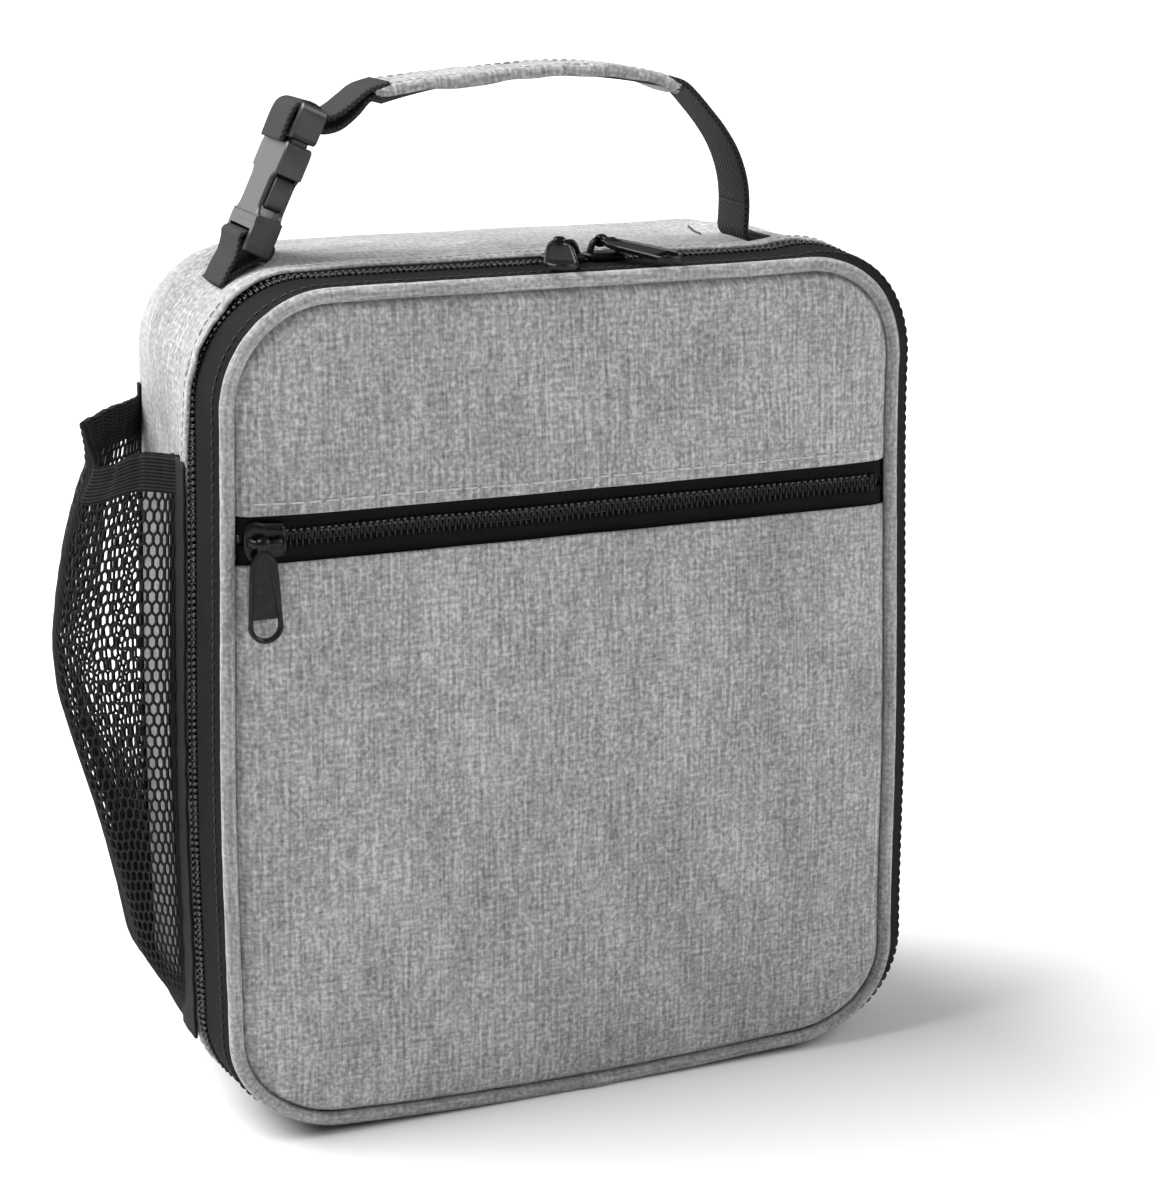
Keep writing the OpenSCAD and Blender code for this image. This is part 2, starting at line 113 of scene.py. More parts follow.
def smooth(a, b, t):
    """Rises smoothly from 0 at a to 1 at b."""
    t = np.clip((t - a) / (b - a), 0, 1)
    return t * t * (3 - 2 * t)


def ripple(u, v, size, seed, count=14):
    """Smooth unevenness from -1 to 1 or so, with bumps about size apart."""
    random = np.random.default_rng(seed)
    total = np.zeros(np.broadcast(u, v).shape)
    for _ in range(count):
        angle = random.uniform(0, 2 * math.pi)
        rate = 2 * math.pi / (size * random.uniform(0.7, 1.6))
        total += np.cos(rate * (u * math.cos(angle) + v * math.sin(angle)) + random.uniform(0, 6.28))
    return total / math.sqrt(count)


# How the soft bag differs from its ideal box: narrower at the top, the bottom corners lifted,
# and each corner a little tighter or rounder: (side in x, height, move outward)
CORNER_MOVES = [(-1, HEIGHT, -0.8), (1, HEIGHT, 1.8), (1, 0, 1.6)]


def settle(p):
    """Moves points of the ideal box to where they are on the soft bag."""
    p = np.array(p, float)
    x, z = p[..., 0].copy(), p[..., 2].copy()
    p[..., 0] *= 1 + (1.5 - 3.8 * smooth(80, 235, z)) / HALF
    p[..., 0] += 0.9 * smooth(40, 100, x)
    p[..., 2] += 2.4 * np.clip(np.abs(x) / FLAT_X, 0, 1.2) ** 2 * (1 - smooth(0, 60, z))
    for side, height, move in CORNER_MOVES:
        near = np.exp(-((x - side * (HALF - 9)) ** 2 + (z - abs(height - 9)) ** 2) / (2 * 17 ** 2))
        p[..., 0] += side * move * near * 0.7
        p[..., 2] += (1 if height else -1) * move * near * 0.7
    return p


LEFT_PUFF, RIGHT_PUFF, TOP_PUFF = 2.8, 7.2, 2.4


def bulge(y, front):
    """Rises from 0 at the front to 1 in the middle and falls to 0 at the back seam."""
    share = np.clip((y - front) / (BACK_Y - front), 0, 1)
    return np.sin(math.pi * share ** 0.8) ** 0.7


def puff(s, y):
    """How far the wall stands out between the piping and the back seam."""
    x, _, nx, nz = rim(s)
    left, right, top, floor = (np.maximum(0, side) for side in (-nx, nx, nz, -nz))
    top = top * (1 - 0.95 * smooth(0, 70, x)) + 3.5 * left * top * smooth(-2, 26, y)
    sharp = (1 - np.exp(-np.maximum(0, y - DOOR_TAPE_Y0) / 1.7)) * (1 - smooth(15, BACK_Y, y))
    sides = bulge(y, DOOR_TAPE_Y0) * LEFT_PUFF * left + sharp * RIGHT_PUFF * right
    behind_zip = bulge(y, ZIP_Y + 3)
    return sides + behind_zip * (TOP_PUFF * top + 0.35 * (1 - floor) * ripple(s, y, size=42, seed=3))


def depth(x, z, inset):
    """Distance inside the outline drawn inset from the bag's own."""
    r = CORNER_R - inset
    qx = np.abs(x) - FLAT_X
    qz = np.abs(z - HEIGHT / 2) - (HEIGHT / 2 - CORNER_R)
    out = np.hypot(np.maximum(qx, 0), np.maximum(qz, 0)) + np.minimum(np.maximum(qx, qz), 0)
    return r - out


# ---------- meshes ----------

def grid_faces(rows, cols, wrap_rows=False, wrap_cols=False):
    """Four-sided faces between the points of a grid, which may close on itself either way."""
    r, c = np.meshgrid(np.arange(rows if wrap_rows else rows - 1),
        np.arange(cols if wrap_cols else cols - 1), indexing="ij")
    r, c = r.ravel(), c.ravel()
    r1, c1 = (r + 1) % rows, (c + 1) % cols
    return np.stack([r * cols + c, r * cols + c1, r1 * cols + c1, r1 * cols + c], axis=1).tolist()


def capped_faces(rows, cols):
    """Faces of a tube through closed cross-sections, with a cap at each end."""
    last = (rows - 1) * cols
    return (grid_faces(rows, cols, wrap_cols=True)
        + [list(range(cols))[::-1], list(range(last, last + cols))])


def directions(path):
    """Unit directions along a path."""
    ahead = np.gradient(path, axis=0)
    return ahead / np.linalg.norm(ahead, axis=1)[:, None]


def distances(path):
    """How far along a path each of its points is."""
    return np.concatenate([[0], np.cumsum(np.linalg.norm(np.diff(path, axis=0), axis=1))])


def cloth_places(across, run):
    """Places in the cloth for a grid whose rows lie across it."""
    return np.stack(np.broadcast_arrays(across[None, :], run[:, None]), axis=-1)


def add_mesh(name, points, faces, mat, body=None, slot=None, weave=None, replaces=(), sharp=None):
    """A new piece from points in millimetres. weave holds each point's place in its cloth."""
    points = np.asarray(points, float).reshape(-1, 3)
    me = bpy.data.meshes.new(name)
    me.from_pydata((points * MM).tolist(), [], faces)
    if weave is not None:
        cloth = np.zeros((len(points), 3), np.float32)
        cloth[:, :2] = np.asarray(weave, float).reshape(-1, 2)
        me.attributes.new("weave", "FLOAT_VECTOR", "POINT").data.foreach_set("vector", cloth.ravel())
    bm = bmesh.new()
    bm.from_mesh(me)
    bmesh.ops.recalc_face_normals(bm, faces=bm.faces)
    bm.to_mesh(me)
    bm.free()
    me.shade_smooth()
    if sharp is not None:
        me.set_sharp_from_angle(angle=math.radians(sharp))
    ob = bpy.data.objects.new(name, me)
    bpy.context.scene.collection.objects.link(ob)
    me.materials.append(mat)
    if body:
        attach(ob, body)
    if replaces:
        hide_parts(*replaces)
    return ob


def strip_profile(y0, y1, inset, t, cols):
    """Closed cross-section of a flat strip as (y, inset) points, with rounded edges."""
    r = t / 2
    across = np.linspace(y0 + r, y1 - r, cols)
    turn = np.radians([-60, -30, 0, 30, 60])
    far = [(y1 - r + r * math.cos(a), inset + r + r * math.sin(a)) for a in turn]
    near = [(y0 + r - r * math.cos(a), inset + r - r * math.sin(a)) for a in turn]
    return [(y, inset) for y in across] + far + [(y, inset + t) for y in across[::-1]] + near


def round_profile(y, inset, r, count):
    """Closed round cross-section as (y, inset) points."""
    turn = np.linspace(0, 2 * math.pi, count, endpoint=False)
    return [(y + r * math.cos(a), inset + r * math.sin(a)) for a in turn]


def band_points(s, profile, swell=1.0):
    """Points of a cross-section carried round the outline, settled, as (len(s), len(profile), 3)."""
    profile = np.asarray(profile, float)
    s = np.asarray(s, float)[:, None]
    y = np.broadcast_to(profile[:, 0], (len(s), len(profile)))
    x, z, nx, nz = [a.reshape(-1, 1) for a in rim(s.ravel())]
    out = -profile[:, 1] + swell * puff(np.broadcast_to(s, y.shape).ravel(), y.ravel()).reshape(y.shape)
    return settle(np.stack([x + nx * out, y, z + nz * out], axis=-1))


def along(start, end, step=2.5):
    """Even places from start to end, about step apart."""
    return np.linspace(start, end, max(3, int(round((end - start) / step)) + 1))


def band(name, s, profile, mat, body, slot, closed=True, loop=False, swell=1.0, replaces=(), move=None):
    """A piece that follows the outline. closed joins the cross-section's ends and loop joins the strip's."""
    points = band_points(s, profile, swell)
    if move is not None:
        points = move(points, s)
    rows, cols = points.shape[:2]
    faces = capped_faces(rows, cols) if closed and not loop else grid_faces(rows, cols, loop, closed)
    weave = cloth_places(distances(np.asarray(profile, float)), s)
    return add_mesh(name, points, faces, mat, body, slot, weave, replaces)


def scatter(name, unit, unit_faces, origins, axes, mat, body, slot, replaces=()):
    """Copies of one small mesh at each origin, with its X, Y and Z along the rows of axes, in one piece."""
    unit = np.asarray(unit, float)
    points = origins[:, None, :] + np.einsum("mk,nkj->nmj", unit, axes)
    n, m = points.shape[:2]
    faces = [[i * m + v for v in f] for i in range(n) for f in unit_faces]
    return add_mesh(name, points, faces, mat, body, slot, replaces=replaces)


def tube_unit(path, radii, sides=6):
    """A capped round tube along a path in the XZ plane, for scatter()."""
    path = np.asarray(path, float)
    turn = np.linspace(0, 2 * math.pi, sides, endpoint=False)
    rings = [[(p[0] - d[1] * r * math.cos(a), r * math.sin(a), p[1] + d[0] * r * math.cos(a))
        for a in turn] for p, d, r in zip(path, directions(path), radii)]
    return np.array(rings).reshape(-1, 3), capped_faces(len(path), sides)


def frames_on(path, normal):
    """Axes along a path: its direction, across it, and the normal."""
    ahead = directions(path)
    across = np.cross(normal, ahead)
    across /= np.linalg.norm(across, axis=1)[:, None]
    return np.stack([ahead, across, np.cross(ahead, across)], axis=1)


def resample(path, step):
    """The same path with points about step apart. Columns after the third are carried along."""
    path = np.asarray(path, float)
    run = distances(path[:, :3])
    at = np.linspace(0, run[-1], max(2, int(run[-1] / step) + 1))
    return np.stack([np.interp(at, run, path[:, k]) for k in range(path.shape[1])], axis=1)


def curve_through(points, step):
    """A smooth line through the points, by Catmull-Rom, with points about step apart."""
    p = np.asarray(points, float)
    p = np.concatenate([[2 * p[0] - p[1]], p, [2 * p[-1] - p[-2]]])
    out = []
    for a, b, c, d in zip(p, p[1:], p[2:], p[3:]):
        t = np.linspace(0, 1, 12, endpoint=False)[:, None]
        out.append(0.5 * (2 * b + (c - a) * t + (2 * a - 5 * b + 4 * c - d) * t ** 2
            + (3 * b - a - 3 * c + d) * t ** 3))
    return resample(np.concatenate(out + [p[-2:-1]]), step)


# One stitch: a short thread that dips into the cloth at both ends
STITCH_L = 2.3
PATH_STEP = 0.5
STITCH = tube_unit([(-0.5 * STITCH_L, -0.25), (-0.38 * STITCH_L, 0.05), (0, 0.16),
    (0.38 * STITCH_L, 0.05), (0.5 * STITCH_L, -0.25)], [0.14, 0.27, 0.31, 0.27, 0.14])


def stitches(name, path, normal, mat, body, slot, pitch=3.0, length=1.0):
    """A row of stitches along a path, at equal steps, lying on a surface with the given normals."""
    path = np.asarray(path, float)
    normal = np.broadcast_to(np.asarray(normal, float), path.shape)
    path, normal = np.hsplit(resample(np.hstack([path, normal]), PATH_STEP), 2)
    axes = frames_on(path, normal)
    pick = np.arange(3, len(path) - 3, int(round(pitch / PATH_STEP)))
    unit = STITCH[0] * np.array([length, 1, 1])
    return scatter(name, unit, STITCH[1], path[pick], axes[pick], mat, body, slot)


# ---------- materials ----------

# Blender's wave texture repeats at this distance when its scale is 1
WAVE_PERIOD = math.pi / 10


class Shader:
    """A Principled material, with short ways to add and wire its nodes."""

    def __init__(self, name, **sockets):
        self.mat = bpy.data.materials.new(name)
        self.mat.use_nodes = True
        self.tree = self.mat.node_tree
        self.bsdf = self.tree.nodes["Principled BSDF"]
        for socket, value in sockets.items():
            self.bsdf.inputs[socket.replace("_", " ")].default_value = value

    def add(self, kind, inputs, **props):
        node = self.tree.nodes.new("ShaderNode" + kind)
        for key, value in props.items():
            setattr(node, key, value)
        for key, value in inputs.items():
            if isinstance(value, bpy.types.NodeSocket):
                self.tree.links.new(value, node.inputs[key])
            else:
                node.inputs[key].default_value = value
        return node

    def cloth(self):
        """Place in the cloth, in millimetres: X across the warp and Y along it."""
        return self.add("Attribute", {}, attribute_name="weave").outputs["Vector"]

    def place(self):
        """Place on a hard part, in millimetres."""
        return self.scaled(self.add("TexCoord", {}).outputs["Object"], (1000, 1000, 1000))

    def scaled(self, vector, by, turn=0.0):
        return self.add("Mapping", {"Vector": vector, "Scale": by,
            "Rotation": (0, 0, turn)}).outputs["Vector"]

    def noise(self, vector, by=(1, 1, 1), detail=2.0):
        return self.add("TexNoise", {"Vector": self.scaled(vector, by), "Scale": 1.0,
            "Detail": detail}).outputs["Fac"]

    def waves(self, vector, pitch, axis="X", turn=0.0):
        """Rounded ridges from 0 to 1 at a pitch in millimetres."""
        return self.add("TexWave", {"Vector": self.scaled(vector, (1, 1, 1), turn),
            "Scale": WAVE_PERIOD / pitch}, bands_direction=axis).outputs["Fac"]

    def math(self, operation, a, b):
        return self.add("Math", {0: a, 1: b}, operation=operation).outputs[0]

    def blend(self, *weighted):
        """Weighted sum of (weight, value) pairs."""
        total = self.math("MULTIPLY", weighted[0][1], weighted[0][0])
        for weight, value in weighted[1:]:
            total = self.math("ADD", total, self.math("MULTIPLY", value, weight))
        return total

    def ramp(self, value, *stops):
        node = self.add("ValToRGB", {"Fac": value})
        while len(node.color_ramp.elements) < len(stops):
            node.color_ramp.elements.new(0.5)
        for element, (at, colour) in zip(node.color_ramp.elements, stops):
            element.position = at
            element.color = (*colour, 1)
        return node.outputs["Color"]

    def level(self, value, low, high):
        """Maps 0..1 to low..high."""
        return self.math("ADD", self.math("MULTIPLY", value, high - low), low)

    def paint(self, colour=None, rough=None, height=None, depth=0.05):
        if colour is not None:
            self.tree.links.new(colour, self.bsdf.inputs["Base Color"])
        if rough is not None:
            self.tree.links.new(rough, self.bsdf.inputs["Roughness"])
        if height is not None:
            bump = self.add("Bump", {"Height": height, "Distance": depth * MM, "Strength": 1.0})
            self.tree.links.new(bump.outputs["Normal"], self.bsdf.inputs["Normal"])
        return self.mat


def grey(v, tint=(1.0, 1.0, 1.0)):
    return tuple(v * t for t in tint)


def heather(name, dark, mid, light):
    """Melange cloth: pale and dark warp threads in short streaks, with finer weft across them."""
    sh = Shader(name, Sheen_Weight=0.15, Sheen_Roughness=0.6)
    at = sh.cloth()
    slub = sh.noise(at, (1.0, 0.03, 1), 1.0)
    streak = sh.noise(at, (1.05, 0.15, 1), 1.0)
    fleck = sh.noise(at, (0.85, 0.75, 1), 1.0)
    weft = sh.noise(at, (0.15, 0.95, 1), 1.0)
    cloud = sh.noise(at, (0.04, 0.022, 1), 2.0)
    tone = sh.blend((0.2, slub), (0.25, streak), (0.36, fleck), (0.17, weft), (0.15, cloud))
    colour = sh.ramp(tone, (0.42, dark), (0.56, mid), (0.7, light))
    threads = sh.math("MAXIMUM", sh.waves(at, 0.55, "X"), sh.waves(at, 0.6, "Y"))
    height = sh.blend((0.5, threads), (0.6, fleck), (0.6, streak))
    return sh.paint(colour, sh.level(fleck, 0.82, 0.97), height, 0.09)


def tape_cloth(name, pitch, dark, light, turn=0.78):
    """Twill or ribbed black tape."""
    sh = Shader(name, Specular_IOR_Level=0.1)
    at = sh.cloth()
    ribs = sh.waves(at, pitch, "X", turn)
    fibre = sh.noise(at, (2.2, 2.2, 1), 2)
    wear = sh.noise(at, (0.06, 0.05, 1), 2)
    tone = sh.blend((0.35, ribs), (0.4, fibre), (0.25, wear))
    return sh.paint(sh.ramp(tone, (0.3, dark), (0.75, light)), sh.level(fibre, 0.7, 0.95),
        sh.blend((0.7, ribs), (0.4, fibre)), 0.12)


def basket_webbing(name, dark, light):
    """Basket-woven webbing: raised squares of yarn that alternate."""
    sh = Shader(name, Specular_IOR_Level=0.22)
    at = sh.cloth()
    weft = sh.level(sh.waves(at, 1.7, "Y"), -1, 1)
    warp = sh.level(sh.waves(at, 1.9, "X"), -1, 1)
    basket = sh.level(sh.math("MULTIPLY", warp, weft), 0.5, 1.0)
    yarn = sh.waves(at, 0.42, "Y", 0.5)
    fibre = sh.noise(at, (1.6, 1.6, 1), 2)
    tone = sh.blend((0.5, basket), (0.2, yarn), (0.3, fibre))
    return sh.paint(sh.ramp(tone, (0.35, dark), (0.85, light)), sh.level(fibre, 0.6, 0.9),
        sh.blend((0.8, basket), (0.15, yarn)), 0.35)


def moulded(name, dark, light, rough):
    """Satin moulded plastic with a fine spark-eroded grain."""
    sh = Shader(name, Specular_IOR_Level=0.55)
    at = sh.place()
    grain = sh.noise(at, (5, 5, 5), 2)
    flow = sh.noise(at, (0.25, 0.25, 0.12), 3)
    tone = sh.blend((0.3, grain), (0.7, flow))
    return sh.paint(sh.ramp(tone, (0.35, dark), (0.65, light)), sh.level(flow, rough - 0.06, rough + 0.1),
        grain, 0.015)


def painted_metal(name, dark, light):
    """Gloss black paint on die-cast metal, rubbed paler in places."""
    sh = Shader(name, Specular_IOR_Level=0.12, Coat_Weight=0.16, Coat_Roughness=0.06)
    at = sh.place()
    orange_peel = sh.noise(at, (2.2, 2.2, 2.2), 1)
    rub = sh.noise(at, (0.7, 0.7, 0.7), 3)
    colour = sh.ramp(sh.blend((1.0, rub)), (0.4, dark), (0.75, light))
    return sh.paint(colour, sh.level(rub, 0.22, 0.42), orange_peel, 0.02)


def nylon(name, dark, light):
    sh = Shader(name, Specular_IOR_Level=0.22)
    at = sh.place()
    tone = sh.noise(at, (0.5, 0.5, 0.5), 2)
    return sh.paint(sh.ramp(tone, (0.35, dark), (0.65, light)), sh.level(tone, 0.25, 0.4),
        sh.noise(at, (4, 4, 4), 1), 0.02)


def foil(name):
    """Heat-sealed foil film over soft foam, finely crinkled."""
    sh = Shader(name, Metallic=0.85, Coat_Weight=0.15, Coat_Roughness=0.3)
    at = sh.cloth()
    creases = sh.add("TexVoronoi", {"Vector": sh.scaled(at, (0.16, 0.16, 1)), "Scale": 1.0},
        feature="DISTANCE_TO_EDGE").outputs["Distance"]
    crinkle = sh.noise(at, (0.35, 0.35, 1), 4)
    dots = sh.math("MULTIPLY", sh.waves(at, 3.2, "X", 0.785), sh.waves(at, 3.2, "Y", 0.785))
    tone = sh.blend((0.6, crinkle), (0.4, creases))
    colour = sh.ramp(tone, (0.25, grey(0.52)), (0.6, grey(0.68, (0.98, 0.99, 1.0))))
    height = sh.blend((0.6, crinkle), (0.35, creases), (0.25, dots))
    return sh.paint(colour, sh.level(crinkle, 0.28, 0.5), height, 0.5)


def foam_cells(name):
    sh = Shader(name, Subsurface_Weight=0.1)
    at = sh.place()
    cells = sh.add("TexVoronoi", {"Vector": sh.scaled(at, (1.4, 1.4, 1.4)), "Scale": 1.0}).outputs["Distance"]
    return sh.paint(sh.ramp(cells, (0.0, grey(0.66)), (0.6, grey(0.84, (1, 1, 0.97)))),
        sh.level(cells, 0.75, 0.95), cells, 0.25)


def thread(name, dark, light):
    sh = Shader(name, Specular_IOR_Level=0.25)
    at = sh.place()
    twist = sh.noise(at, (3, 3, 3), 2)
    return sh.paint(sh.ramp(twist, (0.35, dark), (0.65, light)), sh.level(twist, 0.55, 0.8), twist, 0.05)


FABRIC = heather("heather_fabric", grey(0.12), grey(0.265, (1, 1, 1.02)), grey(0.49))
# Painted shade: the piping's heather is coloured darker than the panels' heather, to stand in for the shade
# on its round tube.
SHADED_PIPING = heather("piping_fabric", grey(0.13), grey(0.25), grey(0.42))
TAPE = tape_cloth("zip_tape_twill", 0.55, grey(0.003, (1, 0.95, 1.1)), grey(0.013, (1, 0.96, 1.1)))
BINDING = tape_cloth("binding_grosgrain", 0.8, grey(0.01), grey(0.035), 0.0)
ELASTIC = tape_cloth("ribbed_elastic", 1.15, grey(0.006), grey(0.04), 0.0)
WEBBING = basket_webbing("basket_webbing", grey(0.006), grey(0.045))
PLASTIC = moulded("buckle_plastic", grey(0.022), grey(0.034), 0.38)
METAL = painted_metal("black_painted_metal", grey(0.003), grey(0.012))
COIL = nylon("coil_nylon", grey(0.004), grey(0.009))
NET = thread("net_thread", grey(0.006), grey(0.02))
BLACK_THREAD = thread("black_thread", grey(0.012), grey(0.05))
# Painted highlight: the coil's stitching is real thread, but it is coloured far paler than the black tape so
# that its stitches stand in for the highlight dots on the coil's loops.
COIL_HIGHLIGHT_THREAD = thread("coil_thread", grey(0.05), grey(0.16))
GREY_THREAD = thread("grey_thread", grey(0.34), grey(0.55))
FOIL = foil("foil_lining")
FOAM = foam_cells("closed_cell_foam")

# ---------- camera, floor and light ----------

CAMERA_AT = (-271.9, -725.5, 357.7)
CAMERA_YAW = 21.98
CAMERA_PITCH = 15.52
CAMERA_LENS = 78.47


def make_camera():
    data = bpy.data.cameras.new("camera")
    data.lens = CAMERA_LENS
    data.sensor_width = 36
    data.clip_start = 0.01
    data.clip_end = 60
    cam = bpy.data.objects.new("camera", data)
    cam.location = Vector(CAMERA_AT) * MM
    cam.rotation_euler = (math.radians(90 - CAMERA_PITCH), 0, math.radians(-CAMERA_YAW))
    bpy.context.scene.collection.objects.link(cam)
    bpy.context.scene.camera = cam


def make_sun(name, strength, azimuth, elevation, size):
    """A soft light that comes from azimuth (0 is the front, 90 the right) and elevation."""
    data = bpy.data.lights.new(name, "SUN")
    data.energy = strength
    data.angle = math.radians(size)
    light = bpy.data.objects.new(name, data)
    a, e = math.radians(azimuth), math.radians(elevation)
    toward = Vector((math.sin(a) * math.cos(e), -math.cos(a) * math.cos(e), math.sin(e)))
    light.rotation_euler = toward.to_track_quat("Z", "Y").to_euler()
    bpy.context.scene.collection.objects.link(light)


def make_stage():
    sh = Shader("studio_floor", Roughness=0.9, Base_Color=(0.72, 0.72, 0.72, 1), Specular_IOR_Level=0.0)
    far = 30000.0
    floor = add_mesh("studio_floor", [(-far, -far, 0), (far, -far, 0), (far, far, 0), (-far, far, 0)],
        [(0, 1, 2, 3)], sh.mat)
    world = bpy.data.worlds.new("studio")
    world.use_nodes = True
    world.node_tree.nodes["Background"].inputs["Color"].default_value = (1, 1, 1, 1)
    world.node_tree.nodes["Background"].inputs["Strength"].default_value = 0.22
    bpy.context.scene.world = world
    bpy.context.scene.view_settings.view_transform = "Standard"
    make_sun("key_back_left", strength=6.3, azimuth=-118, elevation=54, size=50)
    make_sun("front_right", strength=1.7, azimuth=66, elevation=36, size=40)
    make_sun("rim_behind_left", strength=0.8, azimuth=-163, elevation=14, size=50)


make_camera()
make_stage()

# ---------- body: gusset, back, hinge strip ----------

TAPE_T = 0.8
TAPED_FROM = HINGE_HALF + 0.5
TAPED_TO = RIM_L - TAPED_FROM
RIM_LOOP = np.linspace(0, RIM_L, 361)[:-1]
RIM_TAPED = along(TAPED_FROM, TAPED_TO)

# The strip's folded edges as (distance from the fold, inset): its hem by the zip and its turn at the back
HEM_Y = BODY_TAPE_Y0 + 2.6
STRIP_HEM = [(4, 0.35), (0.5, 0.3), (-0.1, 0.0), (-0.3, -0.4), (0, -0.85), (0.7, -1.1), (1.8, -1.15),
    (3.4, -0.95), (5.5, -0.5), (8, -0.1)]
STRIP_SEAM = [(-2.0, 0.1), (-1.0, 0.5), (-0.4, 1.1), (-0.3, 1.8), (-0.9, 2.6)]

# Where the strip laps over the zip, at the top left corner
LAP_X, LAP_Z = -103, 229
LAP_SPREAD = 18
LAP_PULL = 8.6
LAP_FADE = 14
LAP_LIFT = 0.09


def lap(s, y):
    """How far the strip is pulled forward over the zip at the top left corner."""
    x, z, _, _ = rim(s)
    near = LAP_PULL * np.exp(-((x - LAP_X) ** 2 + (z - LAP_Z) ** 2) / (2 * LAP_SPREAD ** 2))
    return near.reshape(-1, *[1] * (np.ndim(y) - 1)) * np.exp(-np.maximum(y - HEM_Y, 0) / LAP_FADE)


def push_out(points, s, by):
    """Moves a band's points outwards from the outline."""
    _, _, nx, nz = rim(s)
    points[..., 0] += nx[:, None] * by
    points[..., 2] += nz[:, None] * by
    return points


def make_gusset():
    """The long strip over the sides and top, hemmed at the zip and turned in at the back seam."""
    hem = [(HEM_Y + y, inset) for y, inset in STRIP_HEM]
    across = [(y, 0.0) for y in np.linspace(HEM_Y + 10, BACK_Y - 3.5, 25)]
    seam = [(BACK_Y + y, inset) for y, inset in STRIP_SEAM]

    def wrinkle(points, s):
        """Fine creases where the strip is eased round a corner."""
        _, _, nx, nz = rim(s)
        pulled = lap(s, points[..., 1])
        points[..., 1] -= pulled
        bend = np.clip(4 * np.abs(nx * nz) - 0.3, 0, 1)[:, None]
        creases = 0.28 * bend * ripple(s[:, None], points[..., 1] * 0.25, size=9, seed=11)
        return push_out(points, s, creases + LAP_LIFT * pulled)

    band("gusset_cover", RIM_LOOP, hem + across + seam, FABRIC, "bag_body", "grey_fabric",
        closed=False, loop=True, replaces=("side_panel", "bottom_panel"), move=wrinkle)


def make_hinge_strip():
    """The strip of floor cloth that the door swings on."""
    strip = strip_profile(DOOR_TAPE_Y0 + 0.3, BODY_TAPE_Y0 + 3, 0.05, 1.0, 14)
    soft = band("hinge_strip", along(-HINGE_HALF, HINGE_HALF), strip, FABRIC, None, "grey_fabric")
    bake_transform(soft)


# How far inside the outline the front and back panels end
FRONT_EDGE = PANEL_INSET - 0.5
BACK_EDGE = 1.8
DOOR_EDGE = 5
ROW_STEP = 2.3


def row_heights(z0, z1, inset):
    """Heights of a panel's rows, closer together round the corners."""
    r = CORNER_R - inset
    turn = np.radians(np.linspace(4, 90, 15))
    low = CORNER_R - r * np.sin(turn[::-1])
    high = HEIGHT - CORNER_R + r * np.sin(turn)
    count = int(SIDE_RUN / ROW_STEP)
    z = np.concatenate([low, np.linspace(CORNER_R, HEIGHT - CORNER_R, count), high])
    return np.concatenate([[z0], z[(z > z0 + 0.8) & (z < z1 - 0.8)], [z1]])


def half_width(z, inset):
    """Half of the width at a height, inside the outline drawn inset from the bag's own."""
    r = CORNER_R - inset
    bend = np.maximum(0, np.maximum(CORNER_R - z, z - (HEIGHT - CORNER_R)))
    return FLAT_X + np.sqrt(np.maximum(0, r * r - bend * bend))


def panel(name, z0, z1, inset, face, mat, body, slot, low_hem=(), high_hem=(), cols=88, replaces=()):
    """A panel that fills the outline between two heights. face gives its Y at each point.
    A hem is a list of (height from the edge, depth behind the face), from the fold outwards."""
    z = row_heights(z0, z1, inset)
    t = np.linspace(-1, 1, cols)
    t = t + 0.055 * np.sin(math.pi * t)
    wide = half_width(z, inset)
    x = wide[:, None] * t
    zz = np.broadcast_to(z[:, None], x.shape)
    points = np.stack([x, face(x, zz), zz], axis=-1)

    def hem_rows(row, hem, sign):
        rows = []
        for up, back in hem:
            edge = row.copy()
            edge[:, 2] += sign * up
            edge[:, 1] += back
            rows.append(edge)
        return rows

    rows = hem_rows(points[0], low_hem, 1)[::-1] + list(points) + hem_rows(points[-1], high_hem, -1)
    points = np.stack(rows)
    weave = points[..., [0, 2]].copy()
    for k in range(len(low_hem)):
        weave[k, :, 1] -= 2 * (len(low_hem) - k)
    add_mesh(name, settle(points), grid_faces(*points.shape[:2]), mat, body, slot, weave, replaces)


def seam_tuck(d, deep=3.0):
    """How far a panel turns back beside its seam."""
    d = np.maximum(d, 0)
    return deep * np.exp(-(d / 1.75) ** 2.2) + 0.5 * np.exp(-(d / 5) ** 2)


def unevenness(x, z, d, pucker, pucker_size, dip, dip_size, seed):
    """Puckers beside a panel's seam, and slow dips further in."""
    round_it = np.arctan2(z - HEIGHT / 2, x) * 110
    return (pucker * np.exp(-d / 7) * ripple(round_it, d, size=pucker_size, seed=seed)
        + dip * (1 - np.exp(-d / 12)) * ripple(x, z * 0.6, size=dip_size, seed=seed + 2))


def dimple(x, z, at_x, at_z, wide, high, deep):
    """A soft dent deep millimetres deep."""
    return deep * np.exp(-((x - at_x) / wide) ** 2 - ((z - at_z) / high) ** 2)


def front_face(x, z):
    """Y of the front, which swells below the pocket's zip and above it, with two dimples at the top."""
    d = depth(x, z, FRONT_EDGE)
    lower = 2.6 * (1 - np.exp(-d / 22)) * (1 - 0.5 * np.exp(-np.maximum(0, BAND_LOW - z) / 26))
    upper = 3.4 * (1 - np.exp(-(HALF - 4 - np.abs(x)) / 16)) * (1 - smooth(BAND_HIGH - 6, HEIGHT - 2, z))
    swell = np.where(z < POCKET_ZIP_Z, lower, upper + 0.2)
    dimples = dimple(x, z, -3, 236, 9, 9, 0.9) + dimple(x + 0.5 * (z - 236), z, 25, 233, 7, 12, 0.8)
    return (FRONT_Y - 0.3 - swell + seam_tuck(d)
        + unevenness(x, z, d, 0.2, 10, 0.22, 34, seed=5) + dimples)


def back_face(x, z):
    """Y of the gently swollen back."""
    d = depth(x, z, BACK_EDGE)
    swell = 2.6 * (1 - np.exp(-d / 24))
    return BACK_Y + 0.2 + swell - seam_tuck(d, 1.6) + unevenness(x, z, d, 0.22, 11, 0.3, 38, seed=15)


